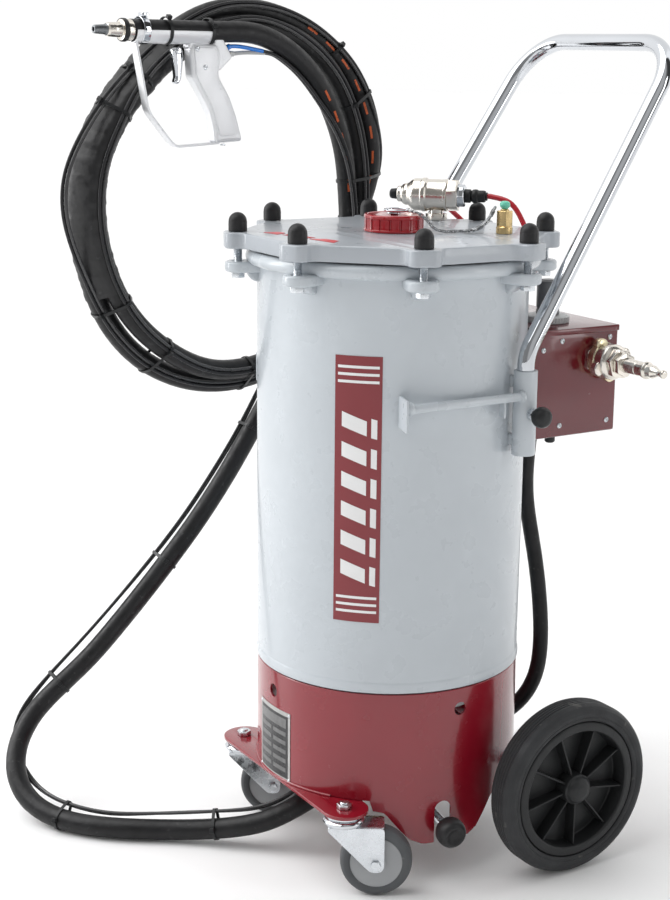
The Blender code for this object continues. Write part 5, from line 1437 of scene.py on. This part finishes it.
def make_ties():
    """Cable ties and a taped stretch on the ring, then ties on the hose's rise and run and on the gun."""
    ties = [(5, 0.27, -0.02, 0.05), (48, 0.29, -0.024, 0.03), (131, 0.24, -0.014, 0.05),
        (146, 0.24, -0.014, 0.05), (216, 0.25, -0.014, 0.06)]
    ties += [(angle, 0.255, -0.014, 0.06) for angle in (240, 275, 318, 350)]
    for k, (angle, radius, depth, reach) in enumerate(ties):
        a = radians(angle)
        ahead = RING_TURN @ Vector((-sin(a), cos(a), 0))
        out = RING_TURN @ Vector((cos(a), sin(a), 0))
        belt(f"ring_tie_{k}", ring_point(angle, radius, depth), ahead, reach, TO_VIEWER + out * 0.5)
    make_sleeve("ring_wrap", 117, 211)
    for k, share in enumerate((0.04, 0.085, 0.135, 0.18, 0.225, 0.262, 0.298, 0.33)):
        i = int(len(HOSE_PATH) * share)
        belt(f"hose_tie_{k}", HOSE_PATH[i], HOSE_PATH[i + 1] - HOSE_PATH[i - 1], 0.04, TO_VIEWER)
    for k, along in enumerate((-0.132, -0.064)):
        name = f"gun_tie_{k}"
        place = RING @ at((along, BARREL_W, GUN_N))

        def build(bm, place=place):
            rings = []
            for r, w in mm((18.1, -2.3), (19.3, -2.3), (19.3, 2.3), (18.1, 2.3)):
                rings.append([bm.verts.new(place @ Vector((w, -y, x))) for x, y in circle(r, 48)])
            skin(bm, rings, along=True)

        put(name, mesh_of(name, build, 50), BLACK_PLASTIC)
        turn = Matrix.Rotation(radians(-62 + 40 * k), 4, "X")
        block(f"{name}_head", (-0.0036, -0.0032, 0.0186), (0.0036, 0.0032, 0.0236), BLACK_PLASTIC, place
            @ turn, 0.0007)


def make_dashes(name, first, last, facing):
    """A broken orange line along the hose, between two shares of its length, facing a direction."""
    count = len(HOSE_PATH)
    step = 4

    def build(bm):
        for i in range(int(count * first), int(count * last), step):
            run = HOSE_PATH[i:i + step - 1]
            rows = []
            for j, here in enumerate(run):
                ahead = (HOSE_PATH[i + j + 1] - here).normalized()
                out = (facing - ahead * facing.dot(ahead)).normalized()
                side = ahead.cross(out)
                rows.append([bm.verts.new(here + out * cos(t) * r + side * sin(t) * r) for r,
                    spread in ((HOSE_R + 0.0001, 1), (HOSE_R + 0.0004, -1))
                    for t in (-0.11 * spread, 0.0, 0.11 * spread)])
            skin(bm, rows)
            for row in (rows[0], rows[-1]):
                bm.faces.new((row[0], row[1], row[4], row[5]))
                bm.faces.new((row[1], row[2], row[3], row[4]))

    put(name, mesh_of(name, build, 60), MARK_ORANGE)


def share_at(angle, turn):
    """How far along the hose its ring turn reaches an angle."""
    radius, out = keyed(HOSE_TURNS, angle + 360 * turn)
    spot = ring_point(angle, radius, out)
    nearest = min(range(len(HOSE_PATH)), key=lambda i: (HOSE_PATH[i] - spot).length)
    return nearest / len(HOSE_PATH)


def make_hoses():
    nozzle = make_nozzle()
    hose = tube("blast_hose_run", HOSE_PATH, HOSE_R, HOSE_RUBBER, 12, node="blast_hose hose_coil hose_tail",
        slot="black_rubber")
    for name, path, mat, where in (("line_run_a", LINE_A, LINE_BLACK,
            {"node": "control_line", "slot": "black_plastic"}), ("line_run_b", LINE_B, LINE_DARK, {})):
        line = tube(name, path, LINE_R, mat, 5, **where)
    for name, path, mat in (("gun_run_a", LINE_A, LINE_BLUE), ("gun_run_b", LINE_B, LINE_PALE)):
        tube(name, path[-12:-1], LINE_R + 0.0004, mat, 5)
    rear = tube("rear_hose_run", REAR_PATH, REAR_R, HOSE_RUBBER, 8, node="rear_hose", slot="black_rubber")
    facing = (TO_VIEWER.normalized() + RING_TURN @ Vector((0, 0, 0.4))).normalized()
    for name, turn, last in (("outer", 0, 62), ("inner", 2, 50)):
        make_dashes(f"hose_marks_{name}", share_at(2, turn), share_at(last, turn), facing)
    rod("box_air_port", (0.02, 0.235, BOX_LOW_Z - 0.0002), (0.02, 0.235, BOX_LOW_Z - 0.013), 0.015, NICKEL,
        0.001)


make_vessel()
make_skirt()
make_base()
make_marks()
make_lid()
make_filler()
make_chain()
make_clamps()
make_exhaust_valve()
make_lid_lines()
make_bleed_valve()
make_handle()
for NAME, SIDE in (("left", -1), ("right", 1)):
    make_bracket(NAME, SIDE)
    make_wheel(NAME, SIDE)
    make_caster(NAME, SIDE)
make_control_box()
make_regulator()
make_inlet()
make_outlet_valve()
make_lever()
make_gun()
make_hoses()
make_ties()


# ---------------------------------------------------------------- floor and light


def make_floor():
    mesh = bpy.data.meshes.new("floor")
    bm = bmesh.new()
    bmesh.ops.create_grid(bm, x_segments=1, y_segments=1, size=60)
    bm.to_mesh(mesh)
    bm.free()
    floor = linked("floor", mesh)
    floor.location.z = -0.0005
    mesh.materials.append(material("floor_paper", (0.9, 0.9, 0.9), 0.6, tone=0.01, grain=0.02))


def soft_light(name, location, target, size, power, tall=None):
    data = bpy.data.lights.new(name, "AREA")
    data.shape = "RECTANGLE"
    data.size = size
    data.size_y = tall or size
    data.energy = power
    aim = aimed(Vector(target) - Vector(location), "-Z", "Y")
    linked(name, data).matrix_world = at(location) @ aim


def make_world():
    """A white surround, dimmer in front and with one dark band and one bright strip to the right."""
    world = bpy.data.worlds.new("studio")
    bpy.context.scene.world = world
    world.use_nodes = True
    tree = world.node_tree
    place = tree.nodes.new("ShaderNodeTexCoord").outputs["Generated"]

    def along(direction):
        return add_node(tree, "VectorMath", {0: place, 1: direction}, operation="DOT_PRODUCT")["Value"]

    right = along((cos(CAMERA_AZIMUTH), sin(CAMERA_AZIMUTH), 0))
    front = along((sin(CAMERA_AZIMUTH), -cos(CAMERA_AZIMUTH), 0))
    heading = add_node(tree, "Math", {0: right, 1: front}, operation="ARCTAN2")["Value"]
    share = add_node(tree, "MapRange", {"From Min": -pi, "From Max": pi, "Value": heading})["Result"]
    ramp_node = tree.nodes.new("ShaderNodeValToRGB")
    ramp = ramp_node.color_ramp
    brightest = 1.3
    stops = [(-180, 1.0), (-155, 1.05), (-115, 1.25), (-85, 1.0), (-62, 0.3), (-8, 0.25), (6, 0.55),
        (38, 0.55), (52, 0.22), (66, 0.06), (99, 0.06), (106, brightest), (128, brightest), (142, 1.0)]
    for k, (angle, value) in enumerate(stops):
        stop = ramp.elements[k] if k < 2 else ramp.elements.new(1.0)
        stop.position = (angle + 180) / 360
        stop.color = (*[value / brightest] * 3, 1)
    feed(tree, ramp_node, {"Fac": share})
    feed(tree, tree.nodes["Background"], {"Color": ramp_node.outputs["Color"], "Strength": brightest})


make_floor()
make_world()
bpy.context.scene.view_settings.view_transform = "Standard"
soft_light("key", (-1.9, -2.3, 1.5), (0, 0, 0.6), 0.9, 34, 2.2)
soft_light("rim", (2.2, 1.6, 1.5), (0, 0, 0.6), 0.5, 12, 2.0)
SUN = bpy.data.lights.new("daylight", "SUN")
SUN.energy = 1.75
SUN.angle = radians(60)
linked("daylight", SUN).matrix_world = aimed((-0.7, -1.5, 2.6), "Z", "Y")
